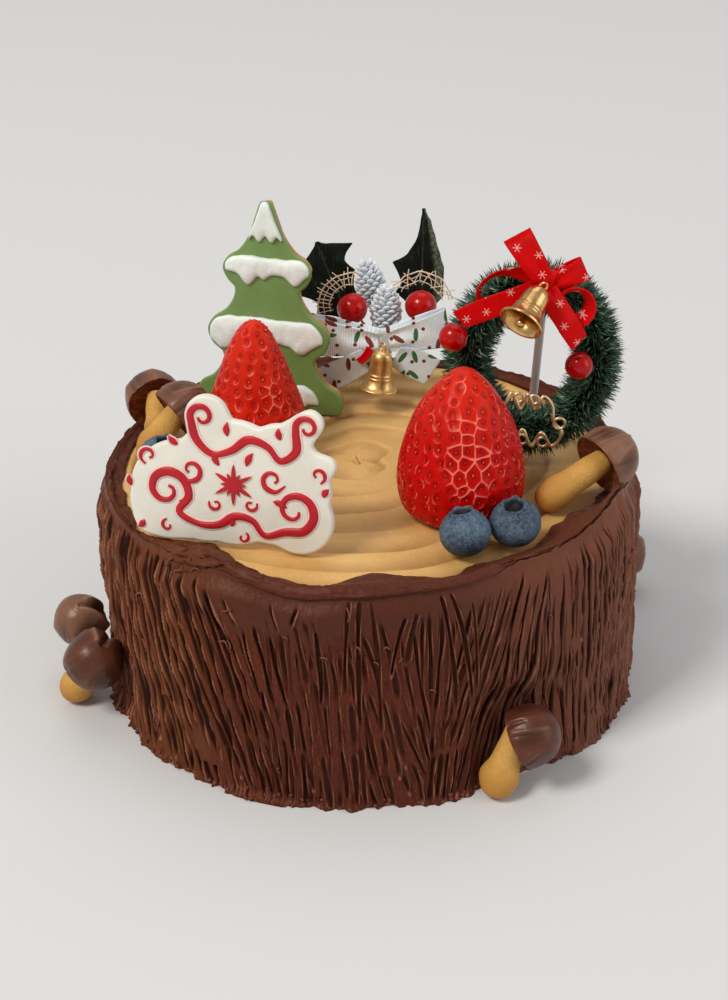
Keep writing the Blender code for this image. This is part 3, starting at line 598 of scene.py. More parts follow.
# strokes of the comb: order, place along the girth, top, length, slant, spacing, depth, bend
def planStrokes(dice, girth, feel):
    table = np.array(combing, float)
    tasks = []
    place = 0.0
    while place < girth:
        angle = -190 + place / girth * 360
        even = np.interp(angle, feel[:, 0], feel[:, 3])
        place += strokes["spacing"] * (1 + 0.3 * even) * dice.uniform(0.5, 1.5)
        angle = -190 + place / girth * 360
        slant, pitch, length, depth, drop = (np.interp(angle, table[:, 0], table[:, i])
                                             for i in range(1, 6))
        top = crestHeight(angle) - 1.0 - drop * dice.uniform(0.5, 1.4)
        while top > 6:
            reach = length * dice.uniform(0.55 + 0.35 * even, 1.15)
            tasks.append((dice.random() + 0.3 * (top < 40), place, top, min(reach, top + 1), slant,
                          pitch * dice.uniform(0.8, 1.25), depth, None))
            top -= reach * dice.uniform(0.35, 0.85)
    for angle, drop, reach, slant, bend in strokes["single"]:
        tasks.append((2.0, unrolled(angle) * girth, crestHeight(angle) - drop, reach, slant,
                      *strokes["singleCut"], bend))
    return sorted(tasks, key=lambda task: task[:2])


# one tine of a stroke: a narrow groove with a thin, broken burr along each side
def cutTine(dice, groove, burr, line, rises, own, depth, broad):
    # the tine's width breathes along its way
    breath = 1 + 0.28 * np.sin(rises / dice.uniform(2.5, 7) + dice.uniform(0, 6))
    wide = dice.uniform(*strokes["wide"]) * broad * breath * (0.25 + 0.75 * own)
    cut = -depth * dice.uniform(0.7, 1.1) * own * np.exp(-np.abs(line / wide) ** 3)
    for side, share in ((1, dice.uniform(0.7, 1.3)), (-1, dice.uniform(0.2, 0.9))):
        broken = 0.6 + 0.4 * np.sin(rises / dice.uniform(1.0, 3.0) + dice.uniform(0, 6))
        height = strokes["burr"] * share * own * broken
        edge = side * line - wide * 1.25 - 0.12
        burr = np.maximum(burr, height * np.exp(-(edge / strokes["burrWidth"]) ** 2))
    return np.minimum(groove, cut), burr


# relief of the unrolled wall, drawn stroke by stroke as a fork would: each stroke smooths
# what was there, then its tines cut their grooves
def combWall():
    dice = random.Random(strokes["seed"])
    feel = np.array(strokes["feel"])
    girth = 2 * math.pi * cake["radius"]
    columns = int(round(girth / strokes["stepAlong"]))
    rows = int(strokes["height"] / strokes["stepUp"])
    along = np.arange(columns) * girth / columns
    level = np.arange(rows) * strokes["stepUp"] - 1.0
    grooves, burrs, ribs = np.zeros((3, rows, columns))
    for _, place, top, reach, slant, pitch, depth, ownBend in planStrokes(dice, girth, feel):
        tines = dice.randint(*strokes["tines"]) if ownBend is None else 1
        slant = slant + dice.gauss(0, 0.05)
        bend = dice.uniform(-1.2, 1.8) * (0.4 + 2 * abs(slant)) if ownBend is None else ownBend
        angle = -190 + place / girth * 360
        ease = np.interp(angle, feel[:, 0], feel[:, 1]) if ownBend is None else 0.9
        broad, even = (np.interp(angle, feel[:, 0], feel[:, i]) for i in (2, 3))
        near = np.nonzero((level < top + 1) & (level > top - reach - 1))[0]
        t = ((top - level[near]) / reach)[:, None]
        centre = place + slant * reach * (t - 0.5) + bend * (4 * t * (1 - t) - 0.5) * np.sign(slant)
        spread = tines * pitch / 2 + 4
        away = angleAway(along, place, girth)
        beside = np.nonzero(np.abs(away) < spread + abs(slant) * reach / 2 + 3)[0]
        gap = away[beside][None, :] - (centre - place)
        block = np.ix_(near, beside)
        rises = level[near][:, None]
        fade = easeStep(t, 0, 0.10) * easeStep(1 - t, 0, 0.08)
        covered = fade * (1 - easeStep(np.abs(gap), tines * pitch / 2 - 0.4, tines * pitch / 2 + 0.5))
        keep = 1 - ease * covered
        groove = grooves[block] * keep
        burr = burrs[block] * keep
        facet = dice.uniform(-0.45, 0.45) + strokes["facet"] * dice.uniform(-1, 1) * gap
        rib = ribs[block] * (1 - covered) + covered * facet
        for i in range(tines):
            offset = (i - (tines - 1) / 2) * pitch + dice.uniform(-0.3, 0.3)
            late = dice.uniform(0, 0.16) * (1 - 0.85 * even) * (ownBend is None)
            early = dice.uniform(0, 0.14)
            rise = 0.16 - 0.11 * even if ownBend is None else 0.04
            own = easeStep(t, late, late + rise) * easeStep(1 - t, early, early + 0.12)
            wander = 0.16 * np.sin(rises / dice.uniform(3, 8) + dice.uniform(0, 6))
            line = gap - offset - wander
            groove, burr = cutTine(dice, groove, burr, line, rises, own, depth, broad)
            # curled crumbs where a tine stopped
            if dice.random() < 0.3:
                stop = top - reach * (1 - early) + 0.8
                wideTip = dice.uniform(0.3, 0.5)
                tip = (line / wideTip) ** 2 + ((rises - stop) / (1.6 * wideTip)) ** 2
                burr = np.maximum(burr, dice.uniform(0.5, 1.3) * np.exp(-tip))
        grooves[block] = groove
        burrs[block] = burr
        ribs[block] = rib
    return grooves, burrs, ribs


# value of the relief at an angle and height, blended between its cells
def sample(field, angle, height):
    rows, columns = field.shape
    x = (unrolled(angle) % 1.0) * columns
    y = np.clip((height + 1.0) / strokes["stepUp"], 0, rows - 1.001)
    x0 = np.floor(x).astype(int) % columns
    y0 = np.floor(y).astype(int)
    x1 = (x0 + 1) % columns
    fx = x - np.floor(x)
    fy = y - y0
    return ((field[y0, x0] * (1 - fx) + field[y0, x1] * fx) * (1 - fy)
            + (field[y0 + 1, x0] * (1 - fx) + field[y0 + 1, x1] * fx) * fy)


# the flat ends of a wall piece keep a sharp edge
def sharpEnds(piece):
    mesh = piece.data
    for face in mesh.polygons:
        if face.loop_total > 4:
            for loop in face.loop_indices:
                mesh.edges[mesh.loops[loop].edge_index].use_edge_sharp = True


def fillEnds():
    bpy.ops.mesh.select_all(action="DESELECT")
    bpy.ops.mesh.select_non_manifold()
    bpy.ops.mesh.fill_holes(sides=0)
    bpy.ops.mesh.select_all(action="SELECT")


# deep pockets, each with a thin lip along its right side
def cutPockets(angle, height, grooves, burrs):
    for centre, level, wide, tall, depth, slant in cake["pockets"]:
        away = np.radians(angleAway(angle, centre)) * cake["radius"] + slant * (height - level)
        rise = (height - level) / tall
        grooves = np.minimum(grooves, -depth * np.exp(-np.abs(away / wide) ** 3 - rise ** 4))
        lip = (0.7 + 0.5 * wide) * np.exp(-((away - wide * 1.5 - 0.1) / 0.26) ** 2 - rise ** 2)
        burrs = np.maximum(burrs, lip)
    return grooves, burrs


# a piece of the wall: combed outside, flat inside, its lower edge spread on the floor
def makeWall(name, start, stop, columns, relief):
    angle = np.linspace(start, stop, columns)[None, :]
    fold = foldShare(angle)
    girth = 2 * math.pi * cake["radius"]
    along = unrolled(angle) * girth
    ragged = 0.45 * hills(along / girth * 230 + 460, 0 * along, 23, 230)
    drop = cake["foldDrop"] * foldHang(angle) * fold + (cake["openDrop"] - ragged) * (1 - fold)
    top = crestHeight(angle) - drop
    levels = np.concatenate([[0, 0.006, 0.014, 0.024, 0.036],
                             np.linspace(0.048, 1, cake["wallRows"] - 5)])[:, None]
    height = levels * top
    angle = np.broadcast_to(angle, height.shape)
    along = np.broadcast_to(along, height.shape)
    grooves, burrs, ribs = (sample(field, angle, height) for field in relief)
    grooves, burrs = cutPockets(angle, height, grooves, burrs)
    still = fold * easeStep(height - top, -17, -9)
    ribs = (ribs + 0.20 * hills(along / girth * 230 + 1000, height / 26, 3, 230)) * (1 - 0.85 * still)
    swell = 0.55 * hills(along / girth * 40 + 400, height / 17, 5, 40)
    crumble = 0.07 * hills(along / girth * 620 + 6200, height / 1.3, 8, 620)
    tuck = easeStep((height - top) / (8.0 - 3.0 * fold), -1, 0)
    end = (cake["crease"] - 0.25) * fold + (cake["crest"] + 0.3) * (1 - fold)
    radius = (sideRadius(angle, height) + ribs + swell) * (1 - tuck) + (end + 0.5 * ribs) * tuck
    carved = grooves * (1 - 0.5 * tuck * fold) + burrs * (1 - tuck * (0.4 + 0.3 * fold)) + crumble
    foot = easeStep(2.4 - height, 0, 2.2)
    edge = (hills(along / girth * 190 + 1900, height * 0.2, 21, 190)
            + 0.6 * hills(along / girth * 70 + 700, height * 0.1, 22, 70)
            + 0.7 * hills(along / girth * 430 + 4300, height * 0.6, 24, 430))
    spread = cake["edgeSpread"] * (0.35 + 0.8 * edge) + bumpSum(angle, cake["flange"])
    radius = radius + carved * (1 - 0.6 * foot) + spread * foot
    wall = polar(np.minimum(radius, cake["wallLimit"]), angle, height)
    inner = [polar(0 * angle[0] + r, angle[0], 0 * angle[0] + z) for r, z in cake["wallInside"]]
    points = np.concatenate([wall, np.array(inner), wall[:1]])

    def rowsOf(field):
        return np.concatenate([field, np.repeat(field[:1] * 0, 2, axis=0), field[:1]])

    lean = np.interp(angle, [row[0] for row in combing], [row[1] for row in combing])
    # the finish paints shade into the grooves, a highlight along the burrs, warm light on the left side
    # and paler light on the right side
    facts = {"hollow": rowsOf(-grooves), "burr": rowsOf(burrs), "rise": rowsOf(height),
             "flow": rowsOf(along + lean * (height - 30)),
             "warm": rowsOf(bumpSum(angle, cake["warm"])),
             "pale": rowsOf(bumpSum(angle, cake["pale"])), "calm": rowsOf(still + 0 * angle)}
    piece = layGrid(name, points, facts=facts, closed=False)
    edit(piece, fillEnds, faceOut)
    sharpEnds(piece)
    return piece


# keys round the section of the rim, from the wall over the crest to the cream and back below
def rimKeys(angle):
    fold = foldShare(angle)
    crest = crestHeight(angle)
    inner = innerRadius(angle)
    lip = -0.15 + bumpSum(angle, cake["lip"]) + 0.35 * hills(angle / 360 * 60 + 60, 0 * angle, 31, 60)
    # where the wall runs up to its edge the band starts behind that edge
    lip = lip * fold - 2.2 * (1 - fold)
    half = (cake["crest"] + inner) / 2
    cream = creamLevel(angle)
    slope = cream + (crest - cream) * (0.55 - bumpSum(angle, cake["lowSlope"]))
    hang = foldHang(angle)
    ragged = 0.7 * hills(angle / 360 * 90 + 90, 0 * angle, 33, 90)
    level = 0 * angle
    return np.stack([
        polar(cake["crease"] - 1.4 - 1.2 * (1 - fold), angle, crest - 3.9 * hang),
        polar(cake["crease"] + lip, angle, crest - 3.0 * hang),
        polar(cake["crease"] + lip * 0.9, angle, crest - 1.7 * hang),
        polar(cake["crest"] + 0.5 - 1.1 * (1 - fold), angle, crest - 0.15 - 0.5 * (1 - fold)),
        polar(cake["crest"] - 1.1 + level, angle, crest - 0.35),
        polar(half, angle, slope),
        polar(inner + ragged, angle, cream + 0.55),
        polar(np.minimum(inner + 1.6, 70.9) + ragged, angle, cream - 1.2),
        polar(cake["crest"] - 2.5 + level, angle, cake["cream"] - 3.2 + level),
    ])


# closed band over the wall
def makeRim():
    angle = np.linspace(-180, 180, cake["rimColumns"], endpoint=False)
    keys = rimKeys(angle)
    rows = []
    for k in range(len(keys)):
        a, b, c, d = (keys[(k + i - 1) % len(keys)] for i in range(4))
        for s in np.arange(cake["rimSteps"]) / cake["rimSteps"]:
            rows.append(0.5 * (2 * b + (c - a) * s + (2 * a - 5 * b + 4 * c - d) * s ** 2
                               + (3 * b - a - 3 * c + d) * s ** 3))
    rows = np.array(rows)
    # lumps along the surface normal, largest where the coating was smeared
    around = np.roll(rows, -1, axis=1) - np.roll(rows, 1, axis=1)
    across = np.roll(rows, -1, axis=0) - np.roll(rows, 1, axis=0)
    normal = np.cross(across, around)
    normal /= np.linalg.norm(normal, axis=2, keepdims=True) + 1e-9
    outward = np.sign((normal * (rows - rows.mean(axis=0))).sum())
    u = np.broadcast_to(angle / 360, rows.shape[:2])
    v = np.arange(len(rows))[:, None] / len(rows) + 0 * u
    smear = 0.35 + bumpSum(angle, cake["smearLumps"])
    rumple = (0.55 * hills(u * 78 + 78 * 3, v * 9, 41, 78) + 0.30 * hills(u * 210 + 420, v * 22, 42, 210)
              + 0.14 * hills(u * 480 + 960, v * 40, 43, 480))
    creases = np.clip(1 - np.abs(hills(u * 64 + 128, v * 16, 45, 64)) * 7, 0, 1)
    bump = smear[None, :] * (rumple - 0.75 * creases) + 0.10 * hills(u * 330 + 660, v * 9, 44, 330)
    shown = np.clip(np.sin(math.pi * np.clip((v - 0.02) / 0.72, 0, 1)) * 1.6, 0, 1)
    rows = rows + normal * (outward * bump * shown)[..., None]
    # painted shade: the creases of the smeared coating are darkened
    hollow = 0.5 * np.maximum(0, smear[None, :] - 0.3) * creases

    def loop(field):
        return np.concatenate([field, field[:1]])

    # on the rim as on the wall: painted shade in the creases, painted warm light on the left, paler
    # painted light on the right
    return layGrid("bark_rim", loop(rows), wrap=True,
                   facts={"hollow": loop(hollow), "burr": loop(0 * v), "flow": loop(v * 40),
                          "rise": loop(u * 478), "warm": loop(0 * v + bumpSum(angle, cake["warm"])),
                          "pale": loop(0.4 * bumpSum(angle, cake["pale"]) + 0 * v),
                          "calm": loop(0 * u + 0 * v + 0.6)})


def chocolateFinish():
    finish, tree = newFinish("chocolateFinish", {"Roughness": 0.4, "Specular IOR Level": 0.16,
                                                 "Specular Tint": (1, 0.74, 0.58, 1)})
    coords = pieceCoords(tree)
    calm, warm = attribute(tree, "calm"), attribute(tree, "warm")
    lit, _ = mottle(tree, coords, 60, 0.35, 0.7, (80, 33, 20), (98, 45, 29))
    fleck, _ = mottle(tree, coords, 900, 0.42, 0.62, (68, 27, 15), (98, 45, 29))
    base = mixColour(tree, 0.4, lit, fleck)
    base = mixColour(tree, ramp(tree, calm, 0, 1.7), base, (76, 43, 35))
    # painted warm light: a warmer, lighter patch on the left side
    base = mixColour(tree, ramp(tree, warm, 0, 1.3), base, (112, 62, 32))
    # painted light: the right side of the coating paler
    base = mixColour(tree, attribute(tree, "pale"), base, (126, 78, 60))
    # painted highlight along the burr edges, warmer where the warm light is painted
    edge = mixColour(tree, ramp(tree, warm, 0, 1.2), (142, 92, 74), (166, 110, 76))
    base = mixColour(tree, ramp(tree, attribute(tree, "burr"), 0.1, 0.6), base, edge)
    # painted shade in the grooves and creases, deeper ones darker
    colour = mixColour(tree, ramp(tree, attribute(tree, "hollow"), 0.06, 0.5), base, (41, 11, 4))
    # fine streaks that follow the comb
    flatWall = addNode(tree, "CombineXYZ", {"X": attribute(tree, "flow"), "Y": attribute(tree, "rise"),
                                            "Z": 0.0}).outputs[0]
    stretched = addNode(tree, "Mapping", {"Vector": flatWall, "Scale": (3.2, 0.16, 1)}).outputs[0]
    streak = addNode(tree, "TexNoise", {"Vector": stretched, "Scale": 1.0, "Detail": 4.0}).outputs["Fac"]
    fine = addNode(tree, "TexNoise", {"Vector": coords, "Scale": 1100.0, "Detail": 2.0}).outputs["Fac"]
    quiet = addNode(tree, "MapRange", {"Value": calm, "To Min": 0.3, "To Max": 0.95}).outputs[0]
    both = addNode(tree, "Mix", {"Factor": quiet, "A": streak, "B": fine}).outputs[0]
    bump = addNode(tree, "Bump", {"Height": both, "Distance": 0.00016, "Strength": 0.9}).outputs[0]
    roughness = addNode(tree, "MapRange", {"Value": ramp(tree, streak, 0.2, 0.8), "To Min": 0.34,
                                           "To Max": 0.52}).outputs[0]
    tree.links.new(roughness, tree.nodes["Principled BSDF"].inputs["Roughness"])
    return cover(finish, colour, bump)


# rings that a knife left in the cream, round a place beside the middle
swirl = {"columns": 520, "rows": 150, "centre": (-3, 6), "ringWidth": 10.5, "depth": 1.2,
         "ridge": 0.12, "under": 0.05, "floor": 57.0}


def makeCream():
    columns = swirl["columns"]
    angle = np.linspace(-180, 180, columns, endpoint=False)
    shares = np.linspace(0, 1, swirl["rows"])[1:]
    radius = shares[:, None] * (innerRadius(angle) + 1.4)[None, :]
    around = np.broadcast_to(angle, radius.shape)
    x = radius * np.cos(np.radians(around))
    y = radius * np.sin(np.radians(around))
    right, back = x - swirl["centre"][0], y - swirl["centre"][1]
    reach = np.hypot(right, back)
    turn = np.degrees(np.arctan2(back, right)) / 360
    part = (reach / swirl["ringWidth"] + 0.45 * hills(turn * 9 + 9, reach / 30, 51, 9)) % 1
    # each ring dips from its ridge, deeper where the knife pressed
    press = 0.55 + 0.45 * hills(turn * 13 + 13, reach / 14, 55, 13)
    dip = -swirl["depth"] * press * easeStep(part, 0.10, 0.90)
    dip = dip + swirl["ridge"] * np.exp(-((part - 0.05) / 0.05) ** 2)
    dip = dip * (1 - easeStep(part, 0.90, 1.0))
    soft = 0.26 * hills(x / 13 + 50, y / 13 + 50, 52) + 0.06 * hills(x / 2.2 + 90, y / 2.2 + 90, 53)
    holes = -0.5 * np.clip(1 - np.abs(hills(x / 1.1 + 200, y / 1.1 + 200, 54) + 1.0) * 22, 0, 1)
    level = cake["cream"] - swirl["under"] + dip + soft + holes
    level = np.minimum(level, cake["cream"] + 0.22) - 0.5 * easeStep(shares, 0.975, 1)[:, None]
    level = level + (creamLevel(around) - cake["cream"]) * easeStep(radius, 52, 70)
    low = -(dip + soft + holes)[::-1]
    top = np.stack([x, y, level], axis=-1)[::-1]
    centre = np.repeat(np.array([[[0, 0, level[0].mean()]]]), columns, axis=1)
    skirt = top[:1] * (1, 1, 0) + (0, 0, swirl["floor"])
    base = np.zeros((1, columns, 3)) + (0, 0, swirl["floor"])
    pad = np.zeros((1, columns))
    return layGrid("cream_swirl", np.concatenate([base, skirt, top, centre]), wrap=True,
                   facts={"dip": np.concatenate([pad, pad, low, pad + low[-1].mean()])})


def creamFinish():
    finish, tree = newFinish("creamFinish", {"Roughness": 0.5, "Specular IOR Level": 0.35})
    coords = pieceCoords(tree)
    colour, _ = mottle(tree, coords, 32, 0.35, 0.65, (211, 164, 95), (230, 187, 120))
    speck, _ = mottle(tree, coords, 1400, 0.45, 0.65, (200, 154, 88), (222, 178, 112))
    base = mixColour(tree, 0.3, colour, speck)
    shade = mixColour(tree, ramp(tree, attribute(tree, "dip"), 0.1, 1.1), base, (168, 124, 70))
    return cover(finish, shade, grain(tree, coords, 120, 900, 0.35, 0.0003))


# flat underside of the cake, filled up to the cream between the walls
underside = {"foot": (60.1, 0.05), "top": (66.0, 56.8), "rings": 12, "columns": 180, "uneven": 0.12}


def makeUnderside():
    angle = np.linspace(0, 360, underside["columns"], endpoint=False)
    (footRadius, footLevel), (topRadius, topLevel) = underside["foot"], underside["top"]
    share = np.linspace(0, 1, underside["rings"])
    rows = []
    for part in share:
        dents = np.abs(hills(angle / 360 * 24 + 24, 0 * angle + part * 9, 71, 24))
        dents = underside["uneven"] * (1 - part) * dents * min(1, part * 6)
        rows.append(polar(footRadius * part + 0 * angle, angle, footLevel + dents))
    level = 0 * angle
    for part in share[1:]:
        rows.append(polar(footRadius + (topRadius - footRadius) * part + level, angle,
                          footLevel + (topLevel - footLevel) * part + level))
    for part in share[::-1][1:]:
        rows.append(polar(topRadius * part + level, angle, topLevel + level))
    return layGrid("bark_underside", np.array(rows), wrap=True)


# shavings that the comb pulled up: angle, height, run along, rise, bow, thickness
curls = [
    (-132.0, 61.0, 2.2, 3.4, 0.4, 0.30), (-130.6, 60.6, 4.2, 2.8, -0.6, 0.26),
    (-126.6, 61.4, 2.8, 1.2, 0.8, 0.28), (-140.6, 47.8, -2.4, -3.6, -1.8, 0.36),
    (-141.4, 34.0, 1.4, -3.4, 0.7, 0.42), (-128.6, 46.4, 2.4, -0.9, 0.8, 0.26),
    (-138.6, 15.0, 1.4, -7.0, 1.8, 0.30), (-137.0, 13.0, -0.6, -5.5, -1.4, 0.30),
    (-118.2, 54.8, 2.6, 1.2, -0.4, 0.24), (-119.6, 44.8, 2.8, -1.6, 1.3, 0.30),
    (-117.4, 46.2, 0.5, -3.4, 0.6, 0.26), (-94.0, 60.0, 0.4, -4.0, 0.6, 0.30),
    (-92.2, 49.2, 1.0, -2.0, 0.7, 0.34), (-88.8, 44.6, 1.0, -1.6, 0.5, 0.30),
    (-98.8, 45.8, 1.9, -0.5, 0.5, 0.28), (-87.0, 48.6, 1.5, -0.4, 0.4, 0.26),
    (-78.0, 34.6, 1.7, -0.8, 0.4, 0.26), (-51.6, 48.0, 0.5, -2.4, 0.8, 0.28),
    (-44.0, 28.5, 0.6, -2.0, 0.6, 0.28), (-70.0, 52.0, 0.6, -2.6, 0.4, 0.24),
    (-106.0, 50.5, 1.2, -1.2, 0.6, 0.26), (-36.0, 38.0, -0.4, -2.2, -0.5, 0.28),
    (-150.0, 26.0, 1.0, -2.6, 0.7, 0.30),
]
crumbs = {
    "curls": 32, "foot": 190, "size": (0.22, 0.75), "seed": 61,
    # the smaller shavings that lie anywhere, in the same order as the table's
    "curlLimits": ((-175, 165), (4, 58), (-1, 1), (-2.6, -0.8), (-0.7, 0.7), (0.16, 0.26)),
    # paleness of the shavings and of the crumbs, as a share of the painted highlight colour of the burrs
    "curlBurr": 0.32, "crumbBurr": 0.25,
}


# height of the wall's surface over the axis at an angle and level
def wallRadius(walls, angle, height):
    out = Vector((math.cos(math.radians(angle)), math.sin(math.radians(angle)), 0))
    for wall in walls:
        met, place, _, _ = wall.ray_cast((out * 90 + Vector((0, 0, height))) * mm, -out)
        if met and place.dot(out) > 60 * mm:
            return place.dot(out) / mm
    return cake["radius"]


def makeCurls(walls):
    dice = random.Random(crumbs["seed"])
    rows = list(curls)
    for _ in range(crumbs["curls"]):
        rows.append([dice.uniform(*limits) for limits in crumbs["curlLimits"]])
    pieces = []
    for angle, height, run, rise, bow, thick in rows:
        length = math.hypot(run, rise)
        path = []
        for i in range(9):
            share = i / 8
            lift = bow * 4 * share * (1 - share)
            turn = angle + math.degrees((run * share - rise / length * lift) / cake["radius"])
            level = height + rise * share + run / length * lift
            path.append((wallRadius(walls, turn, level), turn, level))
        path = np.array(path)
        path[:, 0] = path[:, 0].max() * 0.6 + path[:, 0] * 0.4 + 0.1 + 0.5 * thick
        radii = thick * (0.55 + 0.45 * np.sin(np.linspace(0.3, 2.9, 9)))
        pieces.append(tube("curl", polar(path[:, 0], path[:, 1], path[:, 2]), radii, 7))
    piece = joinUp("bark_curls", pieces)
    addFact(piece, "burr", np.full(len(piece.data.vertices), crumbs["curlBurr"]))
    return piece


def makeCrumbs(walls):
    dice = random.Random(crumbs["seed"] + 1)
    shape, faces = pebble()
    places = []
    for _ in range(crumbs["foot"]):
        angle = dice.choice((dice.gauss(-140, 9), dice.gauss(-108, 7), dice.gauss(-60, 9),
                             dice.uniform(-180, 180), dice.uniform(-180, 180)))
        size = dice.uniform(*crumbs["size"])
        level = 0.3 + size + (0 if dice.random() < 0.6 else dice.uniform(0, 1.6))
        radius = wallRadius(walls, angle, max(level, 0.4)) + dice.uniform(-0.3, 0.5)
        turn = Euler([dice.uniform(0, 6) for _ in range(3)]).to_matrix()
        stretch = Matrix.Diagonal([size * dice.uniform(0.6, 1.2) for _ in range(3)])
        spot = polar(radius, angle, level)
        places.append(Matrix.Translation(Vector(spot)) @ (turn @ stretch).to_4x4())
    return strew("bark_crumbs", shape, faces, places, {"burr": [crumbs["crumbBurr"]] * len(places)})


chocolate = chocolateFinish()
combedRelief = combWall()
walls = [makeWall("bark_wall_" + side, start, stop, columns, combedRelief)
         for side, (start, stop, columns) in cake["walls"].items()]
for piece in walls:
    dress(piece, chocolate, "chocolate", "cake")
dress(makeCurls(walls), chocolate, "chocolate")
dress(makeCrumbs(walls), chocolate, "chocolate")
dress(makeRim(), chocolate, "chocolate", "cake")
dress(makeUnderside(), chocolate, "chocolate", "cake")
dress(makeCream(), creamFinish(), "cream", "cream_top")
print("cake and cream made")


# strawberries

strawberries = {
    # net: angle, level and half sizes of the patch with painted highlight lines between the pits
    "left": {"centre": (-31.6, 10.0), "seed": 3, "tint": 0.8, "net": (-62, 34, 0.30, 6.0),
             "profile": [(0, 0), (9.5, 0), (13.4, 2.4), (14.8, 7), (14.0, 13), (12.2, 19),
                         (9.8, 26), (6.9, 33), (4.3, 37.8), (2.0, 40.0), (0, 40.6)]},
    "right": {"centre": (25.0, -26.0), "seed": 7, "tint": 0.0, "net": (-84, 37, 0.46, 13.5),
              "profile": [(0, 0), (12.2, 0), (15.9, 3.2), (17.1, 9), (16.8, 15), (15.3, 21.5),
                          (12.8, 28), (9.2, 34), (5.4, 38.6), (2.4, 41), (0, 41.5)]},
}
pit = {"pitch": 3.9, "wide": 1.15, "tall": 1.5, "depth": 0.42, "seedLength": 0.95,
       "seedWidth": 0.55, "seedThick": 0.36}


def seedShape():
    ring = [(math.cos(a) * r, math.sin(a) * r, h) for r, h in ((1.0, 0.0), (0.6, 0.7))
            for a in roundTurns(6)]
    points = [(0, 0, -0.8)] + ring + [(0, 0, 1.0)]
    faces = [(0, 1 + (i + 1) % 6, 1 + i) for i in range(6)]
    faces += [(1 + i, 1 + (i + 1) % 6, 7 + (i + 1) % 6, 7 + i) for i in range(6)]
    faces += [(7 + i, 7 + (i + 1) % 6, 13) for i in range(6)]
    return points, faces


# pits stand in staggered rows from the shoulder up to the tip: turn, length run, size
def placePits(dice, outline, along):
    pits = []
    level = along[6] + 2.6
    row = 0
    while level < along[-1] - 1.2:
        radius = float(np.interp(level, along, outline[:, 0]))
        count = max(4, round(2 * math.pi * radius / pit["pitch"]))
        for i in range(count):
            turn = 2 * math.pi * (i + 0.5 * (row % 2) + dice.uniform(-0.18, 0.18)) / count
            turn += 0.35 * math.sin(row * 0.9)
            pits.append((turn, level + dice.uniform(-0.6, 0.6), dice.uniform(0.75, 1.15)))
        row += 1
        level += pit["pitch"] * (0.86 if radius > 6 else 0.72)
    return pits


def makeStrawberry(side, flesh, seedFinish):
    berry = strawberries[side]
    dice = random.Random(berry["seed"])
    centre = Vector((*berry["centre"], cake["cream"] + clearance))
    keys = berry["profile"]
    outline = np.concatenate([smoothPath(keys[:2], 6), smoothPath(keys[1:], 190)[1:]])
    outline[:, 0] = np.clip(outline[:, 0], 0, None)
    outline[0, 0] = outline[-1, 0] = 0
    points, angles = turned(outline, 300)
    along = runLength(outline)
    pits = placePits(dice, outline, along)
    nearest = np.full(points.shape[:2], 99.0)
    second = np.full(points.shape[:2], 99.0)
    highlightArcs = np.zeros(points.shape[:2])
    for turn, level, size in pits:
        across = angleAway(angles[None, :], turn, 2 * math.pi)
        across = across * np.maximum(outline[:, :1], 0.8) / (pit["wide"] * size)
        up = (along[:, None] - level) / (pit["tall"] * size)
        away = np.hypot(across, up)
        second = np.minimum(second, np.maximum(nearest, away))
        nearest = np.minimum(nearest, away)
        # a painted highlight arc along part of some pits
        facing = dice.uniform(-2.8, -0.4) if dice.random() < 0.7 else dice.uniform(-3.1, 3.1)
        part = np.clip(1.7 * np.cos(np.arctan2(up, across) - facing) - 0.5, 0, 1)
        part *= dice.choice((0, 0.5, 0.8, 1)) * np.exp(-((away - 1.15) / 0.15) ** 2)
        highlightArcs = np.maximum(highlightArcs, part)
    net = np.exp(-((second - nearest) / 0.26) ** 2) * (nearest > 0.9)
    x = angles[None, :] / (2 * math.pi)
    swell = 0.35 * hills(x * 7 + 7, along[:, None] / 9, berry["seed"] + 60, 7)
    turn, level, wide, tall = berry["net"]
    gap = angleAway(angles[None, :], math.radians(turn), 2 * math.pi)
    patch = 1 - easeStep(np.hypot(gap / wide, (along[:, None] - level) / tall), 0.75, 1.15)
    # painted highlights: a net of pale lines in the patch, arcs elsewhere; they also lift the skin a
    # little
    pale = np.maximum(net * patch, 0.8 * highlightArcs * (1 - patch))
    relief = -pit["depth"] * np.exp(-(nearest / 0.82) ** 2.4) + 0.06 * net + 0.16 * pale + swell
    fade = np.clip(outline[:, :1] / 4, 0, 1) * (along[:, None] > along[6] - 0.5)
    factor = 1 + relief * fade / np.maximum(outline[:, :1], 1.0)
    points[:, :, :2] *= factor[..., None]
    points[:, :, 2] += 0.25 * relief * fade * (outline[:, 1:] > 30)
    # painted shade in the pits
    pitShade = np.exp(-(nearest / 0.8) ** 2) * fade
    body = layGrid("strawberry_" + side + "_flesh", points + np.array(centre), wrap=True,
                   facts={"net": pale * fade, "pit": pitShade,
                          "tip": np.broadcast_to(outline[:, 1:] / 40.0, net.shape),
                          "tint": np.full(net.shape, berry["tint"])})
    dress(body, flesh, "strawberry", "strawberry_" + side)
    dress(makeSeeds(side, dice, outline, along, centre, pits), seedFinish, "strawberry")


